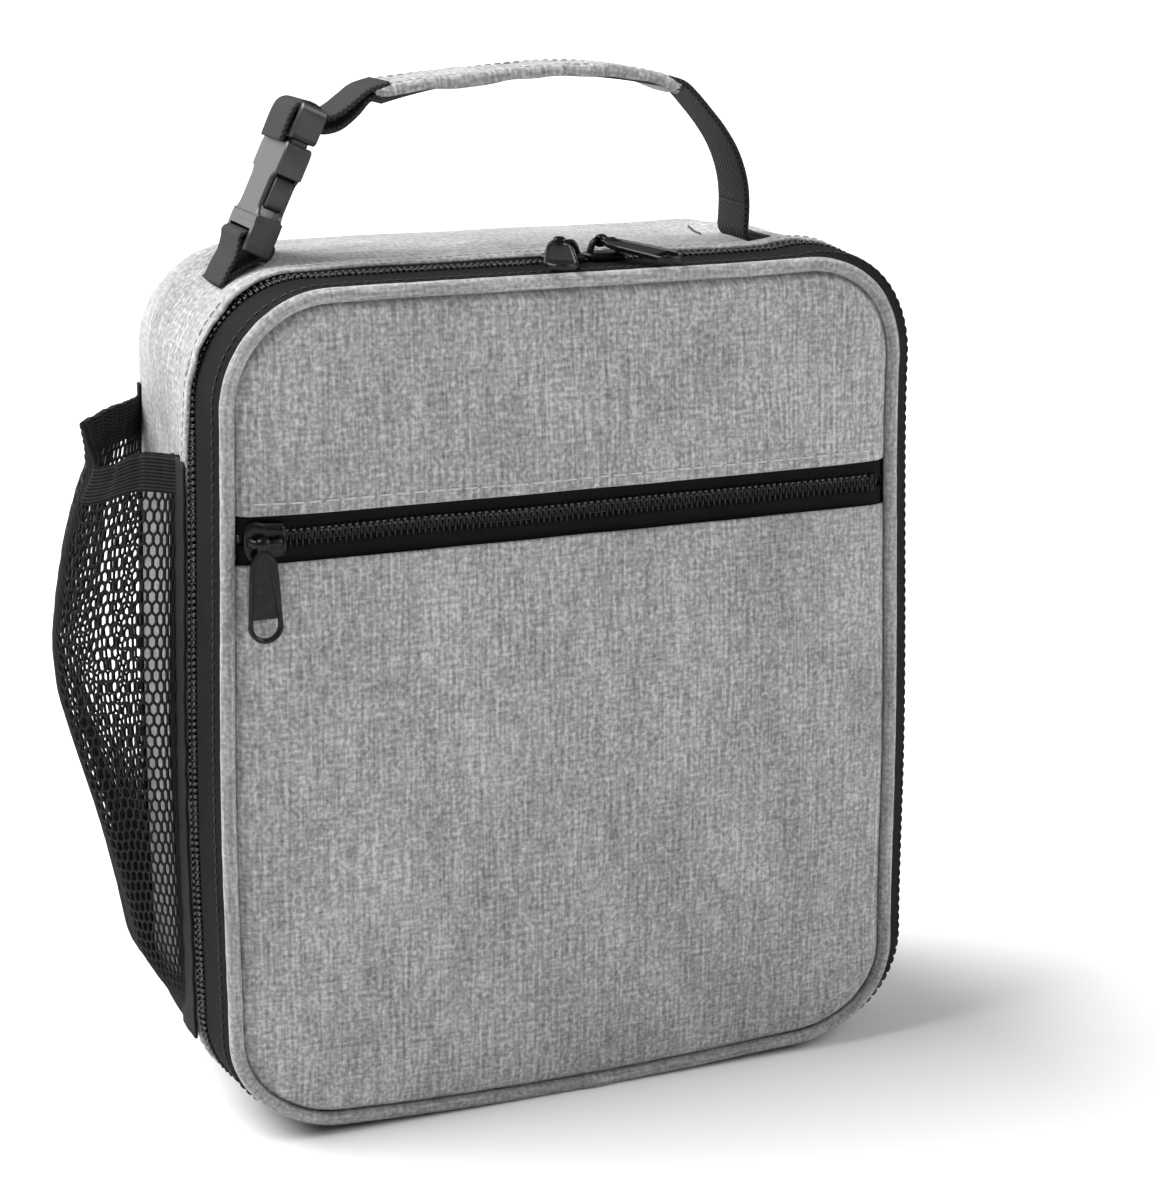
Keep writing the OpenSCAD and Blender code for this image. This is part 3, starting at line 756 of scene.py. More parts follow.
# A folded edge as (height from the edge, depth behind the face)
FOLDED_HEM = [(-0.45, 0.25), (-0.62, 0.75), (-0.35, 1.25), (0.6, 1.45), (5.0, 1.5)]


def make_panels():
    panel("pocket_front_cover", FRONT_EDGE, BAND_LOW, FRONT_EDGE, front_face, FABRIC, "door", "grey_fabric",
        high_hem=FOLDED_HEM, replaces=("pocket_front_panel",))
    panel("upper_front_cover", BAND_HIGH, HEIGHT - FRONT_EDGE, FRONT_EDGE, front_face, FABRIC, "door",
        "grey_fabric", low_hem=FOLDED_HEM, replaces=("upper_front_panel",))
    panel("back_cover", BACK_EDGE, HEIGHT - BACK_EDGE, BACK_EDGE, back_face, FABRIC, "bag_body",
        "grey_fabric", replaces=("back_panel",))


def make_piping():
    """Fabric wound round a cord, lapped over itself in the middle of the bottom edge."""
    join = RIM_L - 3

    def overlap(points, s):
        centre = points.mean(axis=1, keepdims=True)
        at = s[:, None, None] - join
        fat = 1 + 0.16 * smooth(-9, -7.5, at) * (1 - smooth(0.0, 0.5, at))
        fine = 1 + 0.018 * ripple(s[:, None], points[..., 1] * 3, size=7, seed=21)[..., None]
        return centre + (points - centre) * fat * fine

    s = np.unique(np.concatenate([np.linspace(0, RIM_L, 521)[:-1], join + np.linspace(-10, 1.2, 24)]))
    band("piping_cover", s, round_profile(FRONT_Y + PIPING_R, PIPING_R, PIPING_R + 0.1, 14), SHADED_PIPING, "door",
        "piping_fabric", loop=True, swell=0, replaces=("front_piping",), move=overlap)


def make_tapes():
    door = strip_profile(DOOR_TAPE_Y0 - 0.9, DOOR_TAPE_Y1 + 1.2, 0, TAPE_T, 9)
    body = strip_profile(BODY_TAPE_Y0 - 1.2, BODY_TAPE_Y1 + 0.8, 0, TAPE_T, 7)
    band("main_tape_door_soft", RIM_TAPED, door, TAPE, "door", "zip_tape", replaces=("main_zip_tape_door",))
    band("main_tape_body_soft", RIM_TAPED, body, TAPE, "bag_body", "zip_tape",
        replaces=("main_zip_tape_body",))


# ---------- zips ----------

TOOTH_PITCH = 1.8
COIL_STITCH = (1.9, 0.42)  # pitch and length of the thread that holds the coil to its tape; its pale stitches are painted highlight dots
TOOTH = tube_unit([(-0.4, 0.0), (-0.7, 0.4), (-0.35, 0.8), (0.8, 0.92), (1.9, 0.85), (2.5, 0.5),
    (2.6, 0.0)], [0.28, 0.34, 0.38, 0.36, 0.36, 0.36, 0.32])


def rim_frames(s, y, out):
    """Places and outward normals on the rim's surface, and the direction along it."""
    x, z, nx, nz = rim(s)
    lift = puff(s, np.full_like(s, y)) + out
    place = settle(np.stack([x + nx * lift, np.full_like(s, y), z + nz * lift], axis=-1))
    normal = np.stack([nx, 0 * nx, nz], axis=-1)
    ahead = np.stack([-nz, 0 * nx, nx], axis=-1)
    return place, normal, ahead


def make_main_coils():
    """Teeth and their thread on both tapes; the thread is real, and its pale colour paints highlight dots on
    the coil. They sit a little deeper on the puffed right side.
    """
    for side, body, name in ((-1, "door", "main_zip_coil_door"), (1, "bag_body", "main_zip_coil_body")):
        s = np.arange(TAPED_FROM + 1, TAPED_TO - 1, TOOTH_PITCH) + (TOOTH_PITCH / 4) * side
        place, normal, ahead = rim_frames(s, ZIP_Y, -0.45)
        place[:, 0] -= 0.5 * np.maximum(normal[:, 0], 0)
        across = np.broadcast_to(np.array([0.0, side, 0.0]), normal.shape)
        scatter(name + "_teeth", *TOOTH, place, np.stack([across, ahead, normal], axis=1), COIL, body,
            "zip_coil", replaces=(name,))
        row, up, _ = rim_frames(s, ZIP_Y + side * 2.2, 0.5)
        row[:, 0] -= 0.5 * np.maximum(up[:, 0], 0)
        stitches(name + "_thread", row, up, COIL_HIGHLIGHT_THREAD, body, "zip_coil", *COIL_STITCH)


POCKET_TAPE_Y = FRONT_Y + 1.0


def pocket_sag(x):
    """The pocket's zip wavers a little across the bag."""
    return 0.25 * ripple(x, 0 * x, size=70, seed=31)


def pocket_row(x, y, up=0.0):
    """A line across the front at a depth y, up above the middle of the pocket's zip."""
    return settle(np.stack([x, np.full_like(x, y), POCKET_ZIP_Z + pocket_sag(x) + up], axis=-1))


def make_pocket_tape(name, side, x, half):
    z0, z1 = sorted((POCKET_ZIP_Z + side * 1.4, POCKET_ZIP_Z + side * 9.0))
    profile = np.array(strip_profile(z0, z1, 0, TAPE_T, 8))
    points = np.stack([np.broadcast_to(x[:, None], (len(x), len(profile))),
        POCKET_TAPE_Y + profile[:, 1] + 0.9 * seam_tuck(half + 0.9 - np.abs(x))[:, None],
        profile[:, 0] + pocket_sag(x)[:, None]], axis=-1)
    weave = np.stack([points[..., 2], points[..., 0]], axis=-1)
    add_mesh(f"pocket_tape_{name}_soft", settle(points), capped_faces(*points.shape[:2]), TAPE, "door",
        "zip_tape", weave, (f"pocket_zip_tape_{name}",))


def make_pocket_zip():
    half = HALF - PANEL_INSET - 0.2
    x = along(-half, half, 1.5)
    for side, name in ((1, "upper"), (-1, "lower")):
        make_pocket_tape(name, side, x, half)
        at = np.arange(-half + 3, half - 3, TOOTH_PITCH) + (TOOTH_PITCH / 4) * side
        axes = np.broadcast_to(np.array([(0, 0, side), (1, 0, 0), (0, -1, 0)], float), (len(at), 3, 3))
        scatter(f"pocket_coil_{name}_teeth", *TOOTH, pocket_row(at, POCKET_TAPE_Y - 0.1), axes, COIL, "door",
            "zip_coil", (f"pocket_zip_coil_{name}",))
        if name == "upper":
            # the pale thread along the upper coil paints its highlight dots
            row = pocket_row(x, POCKET_TAPE_Y - 1.05, 2.3)[3:-3]
            stitches("pocket_coil_upper_highlight_thread", row, (0, -1, 0), COIL_HIGHLIGHT_THREAD, "door", "zip_coil",
                *COIL_STITCH)


# ---------- linings and bindings ----------

LINING_T = 0.8


def crinkle(points, s):
    """The foil's slow creases."""
    return push_out(points, s, 0.35 * ripple(s[:, None], points[..., 1], size=21, seed=41))


def lining_face(y, inset, belly, rise, seed):
    """The face of a lining that stands belly away from its rim in the middle."""
    def face(x, z):
        d = depth(x, z, inset)
        creases = 0.35 * ripple(x, z, size=24, seed=seed) * (1 - np.exp(-d / 8))
        return y + belly * (1 - np.exp(-d / rise)) + creases
    return face


def make_linings():
    outer = LINING_IN - LINING_T
    tub = strip_profile(BODY_TAPE_Y1 + 0.9, BACK_LINING_Y + 0.4, outer, LINING_T, 26)
    band("tub_lining", RIM_LOOP, tub, FOIL, "bag_body", "foil_lining", loop=True, swell=0.6, move=crinkle,
        replaces=("side_lining", "bottom_lining"))
    flap = strip_profile(DOOR_LINING_Y + 1.6, BODY_TAPE_Y1 + 2, outer, LINING_T, 12)
    band("floor_lining_flap", along(-HINGE_HALF + 0.5, HINGE_HALF - 0.5), flap, FOIL, "bag_body",
        "foil_lining", swell=0)
    for name, body, edge, face in (
            ("back_lining", "bag_body", LINING_IN, lining_face(BACK_LINING_Y + 0.2, LINING_IN, -0.9, 16, 43)),
            ("door_lining", "door", DOOR_EDGE, lining_face(DOOR_LINING_Y - 0.5, DOOR_EDGE, 1.1, 14, 45))):
        panel(name + "_soft", edge, HEIGHT - edge, edge, face, FOIL, body, "foil_lining", cols=60,
            replaces=(name,))


def arc(cx, cy, r, a0, a1, n=8):
    """Points on a circle from the angle a0 to a1, in degrees."""
    return [(cx + r * math.cos(a), cy + r * math.sin(a)) for a in np.radians(np.linspace(a0, a1, n))]


def rounded_box_profile(y0, y1, in0, in1, r):
    """Closed cross-section of a rounded rectangle as (y, inset) points."""
    return (arc(y1 - r, in1 - r, r, 0, 90, 4) + arc(y0 + r, in1 - r, r, 90, 180, 4)
        + arc(y0 + r, in0 + r, r, 180, 270, 4) + arc(y1 - r, in0 + r, r, 270, 360, 4))


def make_bindings():
    opening = rounded_box_profile(BODY_TAPE_Y1 - 0.3, BODY_TAPE_Y1 + 1.7, 1.0, LINING_IN + 0.9, 0.9)
    back = rounded_box_profile(BACK_LINING_Y - 2.6, BACK_LINING_Y + 0.1, LINING_IN - 0.1, LINING_IN + 2.4,
        0.9)
    door = rounded_box_profile(FRONT_Y + 4.4, DOOR_LINING_Y + 0.3, 1.6, 5.6, 1.2)
    band("opening_binding_soft", RIM_TAPED, opening, BINDING, "bag_body", "black_binding", swell=0.8,
        replaces=("opening_binding",))
    band("back_binding_soft", RIM_LOOP, back, BINDING, "bag_body", "black_binding", loop=True, swell=0.4,
        replaces=("back_seam_binding",))
    band("door_binding_soft", RIM_LOOP, door, BINDING, "door", "black_binding", loop=True, swell=0,
        replaces=("door_seam_binding",))


make_gusset()
make_hinge_strip()
make_panels()
make_piping()
make_tapes()
make_main_coils()
make_pocket_zip()
make_linings()
make_bindings()

# ---------- buckle ----------

BUCKLE_LEAN = math.radians(25.3)
STRAP_Y = -2.0
BUCKLE_AT = np.array([-HALF + 23, STRAP_Y, HEIGHT + 5.3])
BUCKLE_W = 25.0
BUCKLE_T = 8.0
SOCKET_L = 32.3
HEAD_FROM = SOCKET_L + 1.2
HEAD_TO = HEAD_FROM + 10.5
CAVITY_FROM = 7.0
LATCH_T = 5.1
AXIS = np.array([math.sin(BUCKLE_LEAN), 0, math.cos(BUCKLE_LEAN)])
ACROSS = np.array([0.0, 1.0, 0.0])
THICK = np.array([math.cos(BUCKLE_LEAN), 0, -math.sin(BUCKLE_LEAN)])


def buckle_points(p):
    """Points given as (across the width, along the axis, through the thickness)."""
    p = np.asarray(p, float)
    return BUCKLE_AT + p[..., :1] * ACROSS + p[..., 1:2] * AXIS + p[..., 2:] * THICK


def slab(name, outline, levels, place, mat):
    """A block with a given outline. levels are (height, inset) from the bottom face to the top one."""
    outline = np.asarray(outline, float)
    ahead = np.roll(outline, -1, axis=0) - np.roll(outline, 1, axis=0)
    ahead /= np.linalg.norm(ahead, axis=1)[:, None]
    area = np.sum(outline[:, 0] * np.roll(outline[:, 1], -1) - np.roll(outline[:, 0], -1) * outline[:, 1])
    inward = np.stack([-ahead[:, 1], ahead[:, 0]], axis=1) * np.sign(area)
    rings = [np.column_stack([outline + inset * inward, np.full(len(outline), h)]) for h, inset in levels]
    return add_mesh(name, place(np.stack(rings)), capped_faces(len(levels), len(outline)), mat)


def carve(ob, cutters, operation="DIFFERENCE"):
    """Cuts the meshes out of ob, or joins them to it, and removes them."""
    for cutter in cutters:
        mod = ob.modifiers.new("cut", "BOOLEAN")
        mod.operation = operation
        mod.solver = "EXACT"
        mod.object = cutter
    bpy.context.view_layer.update()
    mesh = bpy.data.meshes.new_from_object(ob.evaluated_get(bpy.context.evaluated_depsgraph_get()))
    ob.modifiers.clear()
    ob.data = mesh
    for cutter in cutters:
        bpy.data.objects.remove(cutter)


def merge(parts):
    """Joins several meshes into the first one's object."""
    bm = bmesh.new()
    for ob in parts:
        bm.from_mesh(ob.data)
    bm.to_mesh(parts[0].data)
    bm.free()
    for ob in parts[1:]:
        bpy.data.objects.remove(ob)
    return parts[0]


BEVEL_OVER = math.radians(32)
SHARP_OVER = math.radians(40)


def finish_hard(ob, body, nodes, width, segments=3):
    """Rounds the edges of a moulded or cast piece, hangs it on its body and hides the CAD nodes it replaces.
    """
    mod = ob.modifiers.new("edges", "BEVEL")
    mod.width = width * MM
    mod.segments = segments
    mod.limit_method = "ANGLE"
    mod.angle_limit = BEVEL_OVER
    mod.harden_normals = True
    mod.use_clamp_overlap = True
    ob.data.shade_smooth()
    ob.data.set_sharp_from_angle(angle=SHARP_OVER)
    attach(ob, body)
    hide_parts(*nodes)


def box_shape(name, low, high, place, mat):
    (x0, y0, z0), (x1, y1, z1) = low, high
    return slab(name, [(x0, y0), (x1, y0), (x1, y1), (x0, y1)], [(z0, 0), (z1, 0)], place, mat)


def mirrored(half):
    """Closes an outline that runs up the right side, by mirroring it in X."""
    return half + [(-x, y) for x, y in half[::-1]]


def domed(t, edge):
    """Levels of a slab of thickness t with chamfered faces."""
    h = t / 2
    return [(-h, edge), (-h + edge, 0), (h - edge, 0), (h, edge)]


def cavity():
    """The hollow of the socket, open at its far end."""
    return box_shape("cavity", (-11.3, CAVITY_FROM, -2.8), (11.3, 40, 2.8), buckle_points, PLASTIC)


def strap_slot(start, end):
    """A slot right through the buckle for the webbing."""
    return box_shape("slot", (-10.3, start, -9), (10.3, end, 9), buckle_points, PLASTIC)


def make_socket():
    """The buckle's socket: the body with its side windows, and the foot with the webbing's slot."""
    half = BUCKLE_W / 2
    body = mirrored([(half, 7.2), (half, 10.0)]
        + arc(half, 13.2, 3.2, 270, 180, 9) + arc(half, 19.8, 3.2, 180, 94, 11)
        + [(half, 24.4), (half, 29.6), (half - 0.5, 31.6), (half - 1.4, SOCKET_L)])
    ob = slab("buckle_socket_body", body, domed(BUCKLE_T, 0.45), buckle_points, PLASTIC)
    carve(ob, [cavity()])
    foot = mirrored([(half - 3.0, -0.5)] + arc(half - 1.8, 1.7, 2.2, 270, 360, 5) + [(half + 0.4, 8.0)])
    foot = slab("foot", foot, domed(BUCKLE_T - 0.2, 0.45), buckle_points, PLASTIC)
    carve(foot, [cavity()])
    carve(foot, [strap_slot(2.2, 5.7)])
    ob = merge([ob, foot])
    finish_hard(ob, "handle", ("buckle_socket",), width=0.3)


def make_plug():
    """The head of the buckle's plug, with its centre guide."""
    half = BUCKLE_W / 2
    head = mirrored([(half - 1.0, HEAD_FROM), (half, HEAD_FROM + 1.4), (half - 0.1, HEAD_TO - 3.4)]
        + arc(half - 2.6, HEAD_TO - 2.5, 2.5, 0, 90, 6))
    ob = slab("buckle_plug_body", head, domed(BUCKLE_T, 0.5), buckle_points, PLASTIC)
    guide = slab("guide", mirrored([(1.3, 15.0), (2.0, 16.2), (2.0, HEAD_FROM + 0.5)]), domed(LATCH_T, 0.3),
        buckle_points, PLASTIC)
    carve(ob, [guide], "UNION")
    roots = [box_shape("root", (x - 2.9, HEAD_FROM - 1, -2.85), (x + 2.9, HEAD_FROM + 1.8, 2.85),
        buckle_points, PLASTIC) for x in (-8.75, 8.75)]
    carve(ob, [strap_slot(HEAD_TO - 5.6, HEAD_TO - 2.2)] + roots)
    finish_hard(ob, "grip", ("buckle_plug",), width=0.32)


def make_latch(side, name, body):
    """Sprung arm with a rounded, barbed tip that shows in the socket's window."""
    tip = HEAD_FROM - 21
    half = ([(7.4, HEAD_FROM), (8.0, HEAD_FROM - 8), (7.1, HEAD_FROM - 11), (6.6, tip + 3.2)]
        + arc(8.9, tip + 2.3, 2.25, 195, 345, 9)
        + [(10.95, tip + 8.2), (10.6, tip + 9.4), (9.4, tip + 10.2), (10.1, HEAD_FROM - 8),
            (10.1, HEAD_FROM)])
    outline = [(side * x, y) for x, y in half]
    ob = slab(name + "_body", outline, domed(LATCH_T, 0.3), buckle_points, PLASTIC)
    finish_hard(ob, body, (name,), width=0.3)


# ---------- webbing and sleeve ----------

WEB_W = 20.0
PATH_PITCH = 0.8
ROOF_Z = 215  # everything above this height is the top of the bag
RIM_FINE = np.linspace(0, RIM_L, 1500)


def strap(name, path, w, t, mat, body, slot, replaces=(), cols=11, shape=None, curve=True):
    """A strap whose width lies along Y, through (x, z) points. shape may move its (across, out) points."""
    path = curve_through(path, PATH_PITCH) if curve else np.asarray(path, float)
    ahead = directions(path)
    profile = np.array(strip_profile(-w / 2, w / 2, -t / 2, t, cols))
    size = len(path), len(profile)
    run = distances(path)
    across = np.broadcast_to(profile[:, 0], size).copy()
    out = np.broadcast_to(profile[:, 1], size).copy()
    if shape is not None:
        across, out = shape(run[:, None] / run[-1], across, out)
    points = np.stack([path[:, :1] - ahead[:, 1:] * out, across + STRAP_Y, path[:, 1:] + ahead[:, :1] * out],
        axis=-1)
    weave = cloth_places(distances(profile), run)
    return add_mesh(name, points, capped_faces(*size), mat, body, slot, weave, replaces)


def on_axis(a, t):
    """(x, z) of a point of the buckle in the plane of the straps."""
    p = BUCKLE_AT + a * AXIS + t * THICK
    return p[0], p[2]


def top_of(x, y=STRAP_Y, out=0.9):
    """Height of the bag's top, or of a surface out from it."""
    wall = rim_frames(RIM_FINE, y, out)[0]
    wall = wall[wall[:, 2] > ROOF_Z]
    wall = wall[np.argsort(wall[:, 0])]
    return float(np.interp(x, wall[:, 0], wall[:, 2]))


def make_left_straps():
    """Webbing sewn to the rounded corner, up through the socket's slot and folded back on itself."""
    path = [(x, top_of(x)) for x in (-92.2, -91.0)] + [(-89.0, 250.9), (-87.1, 253.9),
        on_axis(0.8, -4.6), on_axis(2.9, -5.2), on_axis(4.2, -3.6), on_axis(4.1, 0), on_axis(4.0, 3.4),
        on_axis(2.4, 5.0), on_axis(-1.0, 4.4)]
    path += [(x, top_of(x) + lift) for x, lift in ((-78.2, 1.4), (-81.5, 0.6), (-86.0, 0.4), (-89.5, 0.2))]
    soft = strap("left_anchor_strap", path, WEB_W, 1.4, WEBBING, None, "webbing",
        replaces=("handle_anchor_left", "socket_webbing_loop"))
    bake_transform(soft)


# Where the right leg is cut in two, so that each piece bends at one joint
LEG_CUT = (71.1, 262.0)


def make_right_strap():
    """The right leg: its sewn foot, the piece that bends at the bag and the piece that bends at the grip."""
    low = [(75.5, 250.9), (72.4, 251.2), (70.9, 253.4), (71.0, 257.0), LEG_CUT]
    high = [(70.6, 267.5), (69.2, 273.0), (66.6, 279.0), (62.6, 285.0), (58.2, 290.2), (53.6, 295.2),
        (50.0, 298.2), (45.0, 299.9)]
    whole = curve_through(low + high, PATH_PITCH)
    cut = int(np.argmin(np.hypot(whole[:, 0] - LEG_CUT[0], whole[:, 1] - LEG_CUT[1])))
    base = strap("right_anchor_strap", whole[:cut + 1], WEB_W, 1.7, WEBBING, None, "webbing",
        replaces=("handle_anchor_right",), curve=False)
    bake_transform(base)
    leg = strap("right_strap", whole[cut:], WEB_W, 1.7, WEBBING, None, "webbing",
        replaces=("handle_webbing_leg",), curve=False)
    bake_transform(leg)
    strap("right_anchor_foot", [(75.5, 251.0), (79.5, 250.6), (83.5, 249.6), (86.0, 248.4)], WEB_W, 2.4,
        WEBBING, "bag_body", "webbing")


def make_bar_tack():
    """The black stitched bar on the top beside the right-hand webbing."""
    y = np.linspace(7.3, 30.6, 40)
    x = np.linspace(64.5, 70.6, 40)
    z = [top_of(*at, 0.15) for at in zip(x, y)]
    stitches("right_bar_tack", np.stack([x, y, z], axis=-1), (0.0, 0.0, 1.0), BLACK_THREAD, "bag_body",
        "webbing", pitch=1.0, length=0.75)


def make_plug_strap():
    """Doubled webbing from the plug's slot into the sleeve."""
    inner = [on_axis(40.0, -3.2), on_axis(39.0, 0), on_axis(38.2, 4.0), (-58.0, 288.2), (-54.6, 289.6),
        (-50.6, 292.8), (-47.0, 296.4), (-41.5, 298.6)]
    strap("plug_strap_inner", inner, WEB_W, 1.5, WEBBING, "grip", "webbing", replaces=("plug_webbing",))
    outer = [on_axis(31.5, -5.0), on_axis(35.0, -5.1), on_axis(39.2, -5.1), on_axis(42.2, -4.6),
        on_axis(43.9, -2.6), on_axis(44.0, 0.8), on_axis(42.6, 4.2), (-57.4, 292.0), (-54.0, 293.8),
        (-50.3, 296.5), (-46.6, 299.0), (-41.0, 300.6)]
    strap("plug_strap_outer", outer, WEB_W, 1.6, WEBBING, "grip", "webbing")


GRIP_PATH = [(-45.2, 298.2), (-38, 299.4), (-28, 300.4), (-14, 301.4), (0, 302.5), (12, 303.0), (24, 302.6),
    (34, 301.4), (42, 299.6), (48.6, 297.0)]


def make_sleeve():
    """A tube of cloth round the webbing, with easy creases and a row of stitches along each edge."""
    path = curve_through(GRIP_PATH, PATH_PITCH)

    def shape(u, across, out):
        crease = ripple(u * 96, across * 1.5, size=13, seed=51)
        ends = 1 - 0.1 * (np.exp(-(u / 0.03) ** 2) + np.exp(-((1 - u) / 0.03) ** 2))
        soft = 1 + 0.1 * ripple(u * 96, 0 * across, size=26, seed=53)
        wavy = 1 + 0.012 * ripple(u * 96, across, size=17, seed=55)
        return across * ends * wavy, out * soft + 0.16 * crease

    ob = strap("grip_sleeve_soft", path, 22.4, 3.6, FABRIC, "grip", "grey_fabric", replaces=("grip_sleeve",),
        cols=19, shape=shape, curve=False)
    # the cloth's warp runs round the sleeve
    weave = ob.data.attributes["weave"].data
    place = np.zeros(len(weave) * 3, np.float32)
    weave.foreach_get("vector", place)
    weave.foreach_set("vector", place.reshape(-1, 3)[:, [1, 0, 2]].ravel())
    ahead = directions(path)
    normal = np.stack([-ahead[:, 1], 0 * ahead[:, 0], ahead[:, 0]], axis=-1)
    for side, from_middle in (("front", -8.6), ("back", 8.6)):
        middle = np.stack([path[:, 0], np.full(len(path), STRAP_Y + from_middle), path[:, 1]], axis=-1)
        stitches("sleeve_stitches_" + side, middle + normal * 1.68, normal, GREY_THREAD, "grip",
            "grey_fabric", pitch=2.8)


make_socket()
make_plug()
make_latch(-1, "latch_arm_front", "front_latch")
make_latch(1, "latch_arm_back", "back_latch")
make_left_straps()
make_right_strap()
make_bar_tack()
make_plug_strap()
make_sleeve()

# ---------- foam and the pocket's back wall ----------

def plate_piece(name, y0, y1, inset, mat, body, slot, node, edge=0.5):
    """A soft plate that fills the outline, with rounded edges."""
    x, z, nx, nz = rim(RIM_LOOP)
    rings = []
    for y, more in ((y0, edge), (y0 + edge, 0), (y1 - edge, 0), (y1, edge)):
        gap = inset + more
        rings.append(np.stack([x - nx * gap, np.full_like(x, y), z - nz * gap], axis=-1))
    weave = [np.stack([x, z], axis=-1)] * len(rings)
    add_mesh(name, settle(rings), capped_faces(len(rings), len(x)), mat, body, slot, weave, (node,), sharp=50)


def make_foam():
    side = strip_profile(BODY_TAPE_Y1 + 1.8, BACK_Y - 5.2, 1.3, 3.5, 10)
    floor = strip_profile(DOOR_LINING_Y + 1.2, BACK_Y - 5.2, 1.3, 3.5, 10)
    band("side_foam_soft", RIM_TAPED, side, FOAM, "bag_body", "foam", replaces=("side_foam",))
    band("bottom_foam_soft", along(-HINGE_HALF, HINGE_HALF), floor, FOAM, "bag_body", "foam", swell=0,
        replaces=("bottom_foam",))
    plate_piece("back_foam_soft", BACK_Y - 4.8, BACK_Y - 1.2, 1.6, FOAM, "bag_body", "foam", "back_foam")
    plate_piece("door_foam_soft", FRONT_Y + 5.2, DOOR_LINING_Y - 1.0, 5.2, FOAM, "door", "foam", "door_foam")
    plate_piece("pocket_back_soft", FRONT_Y + 4.45, FRONT_Y + 5.05, 5.3, FABRIC, "door", "grey_fabric",
        "pocket_back_panel", 0.2)


# ---------- net pocket ----------

NET_Y0 = BODY_TAPE_Y1 + 1.5
NET_Y1 = BACK_Y - 6.0
NET_Z0 = box_mm("net_pocket")[0][2]
NET_SIDE = 2.23
NET_FLAT_W, NET_FLAT_H = 145.0, 168.0
NET_THREAD = 1.1
NET_TOP = 0.95  # share of the pocket's height where the net goes under its elastic
NET_FRONT_TOP, NET_REAR_TOP = 199.5, 210.0
NET_CORNER = 0.27  # share of the pocket's width where its open mouth turns a corner
ELASTIC_H = 10.8
ELASTIC_RIBS = 5


# How far the net stands out from the wall, as (height, reach), and the same smoothed over 9 mm
NET_BELLY = [(22, 0.0), (27, 0.8), (38, 7.0), (48, 12.0), (65, 15.0), (81, 18.6), (97, 23.0), (113, 27.8),
    (129, 32.4), (144, 33.8), (159, 32.2), (173, 29.5), (187, 24.6), (193, 20.2), (215, 22.2)]
NET_HEIGHTS = np.linspace(0, 230, 231)
NET_REACHES = np.convolve(np.pad(np.interp(NET_HEIGHTS, *zip(*NET_BELLY)), 4, mode="edge"), np.ones(9) / 9,
    mode="valid")


def wall_out(y):
    """How far the left wall stands out at mid height."""
    return LEFT_PUFF * bulge(y, DOOR_TAPE_Y0)


def net_point(u, v, out=0.0):
    """A point of the pocket: u is 0 at the front seam and 1 at the rear one, v is 0 at the foot and 1
    at the rim. out is the distance outwards from the net."""
    u, v, out = np.broadcast_arrays(np.asarray(u, float), v, out)
    rim_z = (NET_FRONT_TOP - 4.5 * smooth(0.1, 0.24, u) + 12.5 * smooth(0.245, 0.31, u)
        - smooth(0.31, 1.0, u))
    z = NET_Z0 + 2 + v * (rim_z - NET_Z0 - 2)
    level = z - 9.0 * smooth(0.7, 1.0, v) * smooth(0.2, 0.5, u)
    round_u = np.sin(math.pi * np.clip(u, 1e-6, 1 - 1e-6) ** 0.62) ** 0.8
    rise = np.clip(u, 1e-4, 1) / NET_CORNER
    fall = np.clip(1 - u, 1e-4, 1) / (1 - NET_CORNER)
    corner = (rise ** -5 + fall ** -5) ** -0.2 * 1.12
    open_mouth = smooth(0.55, 0.95, v)
    creased = 0.5 + 0.5 * open_mouth
    shape = round_u * (1 - creased) + np.minimum(corner, 1.02) * creased
    reach = np.interp(level, NET_HEIGHTS, NET_REACHES) * shape
    gather = np.sin(2 * math.pi * 13 * u + 1.5 * np.sin(5 * u)) + 0.6 * np.sin(2 * math.pi * 29 * u + 1)
    held = np.exp(-(1 - v) * 14) + 0.8 * np.exp(-v * 12)
    folds = 0.5 * gather * held + ripple(u * 120, v * 60, size=34, seed=61)
    reach = reach + folds * np.clip(reach / 12, 0, 1)
    y = NET_Y0 + u * (NET_Y1 - NET_Y0) - 1.5 * smooth(0, 0.3, u) * (1 - u) * open_mouth
    x = -HALF - wall_out(y) - reach - 0.5
    lean = smooth(0, 0.25, u) * smooth(0, 0.25, 1 - u)
    x = x - out * (0.35 + 0.65 * lean)
    y = y + out * np.where(u < NET_CORNER, -1, 0.6) * (1 - lean)
    return settle(np.stack([x, y, z], axis=-1))


def hexagons(cols, rows, wide):
    """Corners and cells of a flat net of regular hexagons, with shared corners."""
    index, flat, faces = {}, [], []
    for r in range(rows):
        for c in range(cols):
            cx, cy = (c + 0.5 + 0.5 * (r % 2)) * wide, (1.5 * r + 1) * NET_SIDE
            cell = []
            for k in range(6):
                a = math.pi / 6 + k * math.pi / 3
                x, y = cx + NET_SIDE * math.cos(a), cy + NET_SIDE * math.sin(a)
                key = (round(x * 10), round(y * 10))
                if key not in index:
                    index[key] = len(flat)
                    flat.append((x, y))
                cell.append(index[key])
            faces.append(cell)
    return np.array(flat), faces


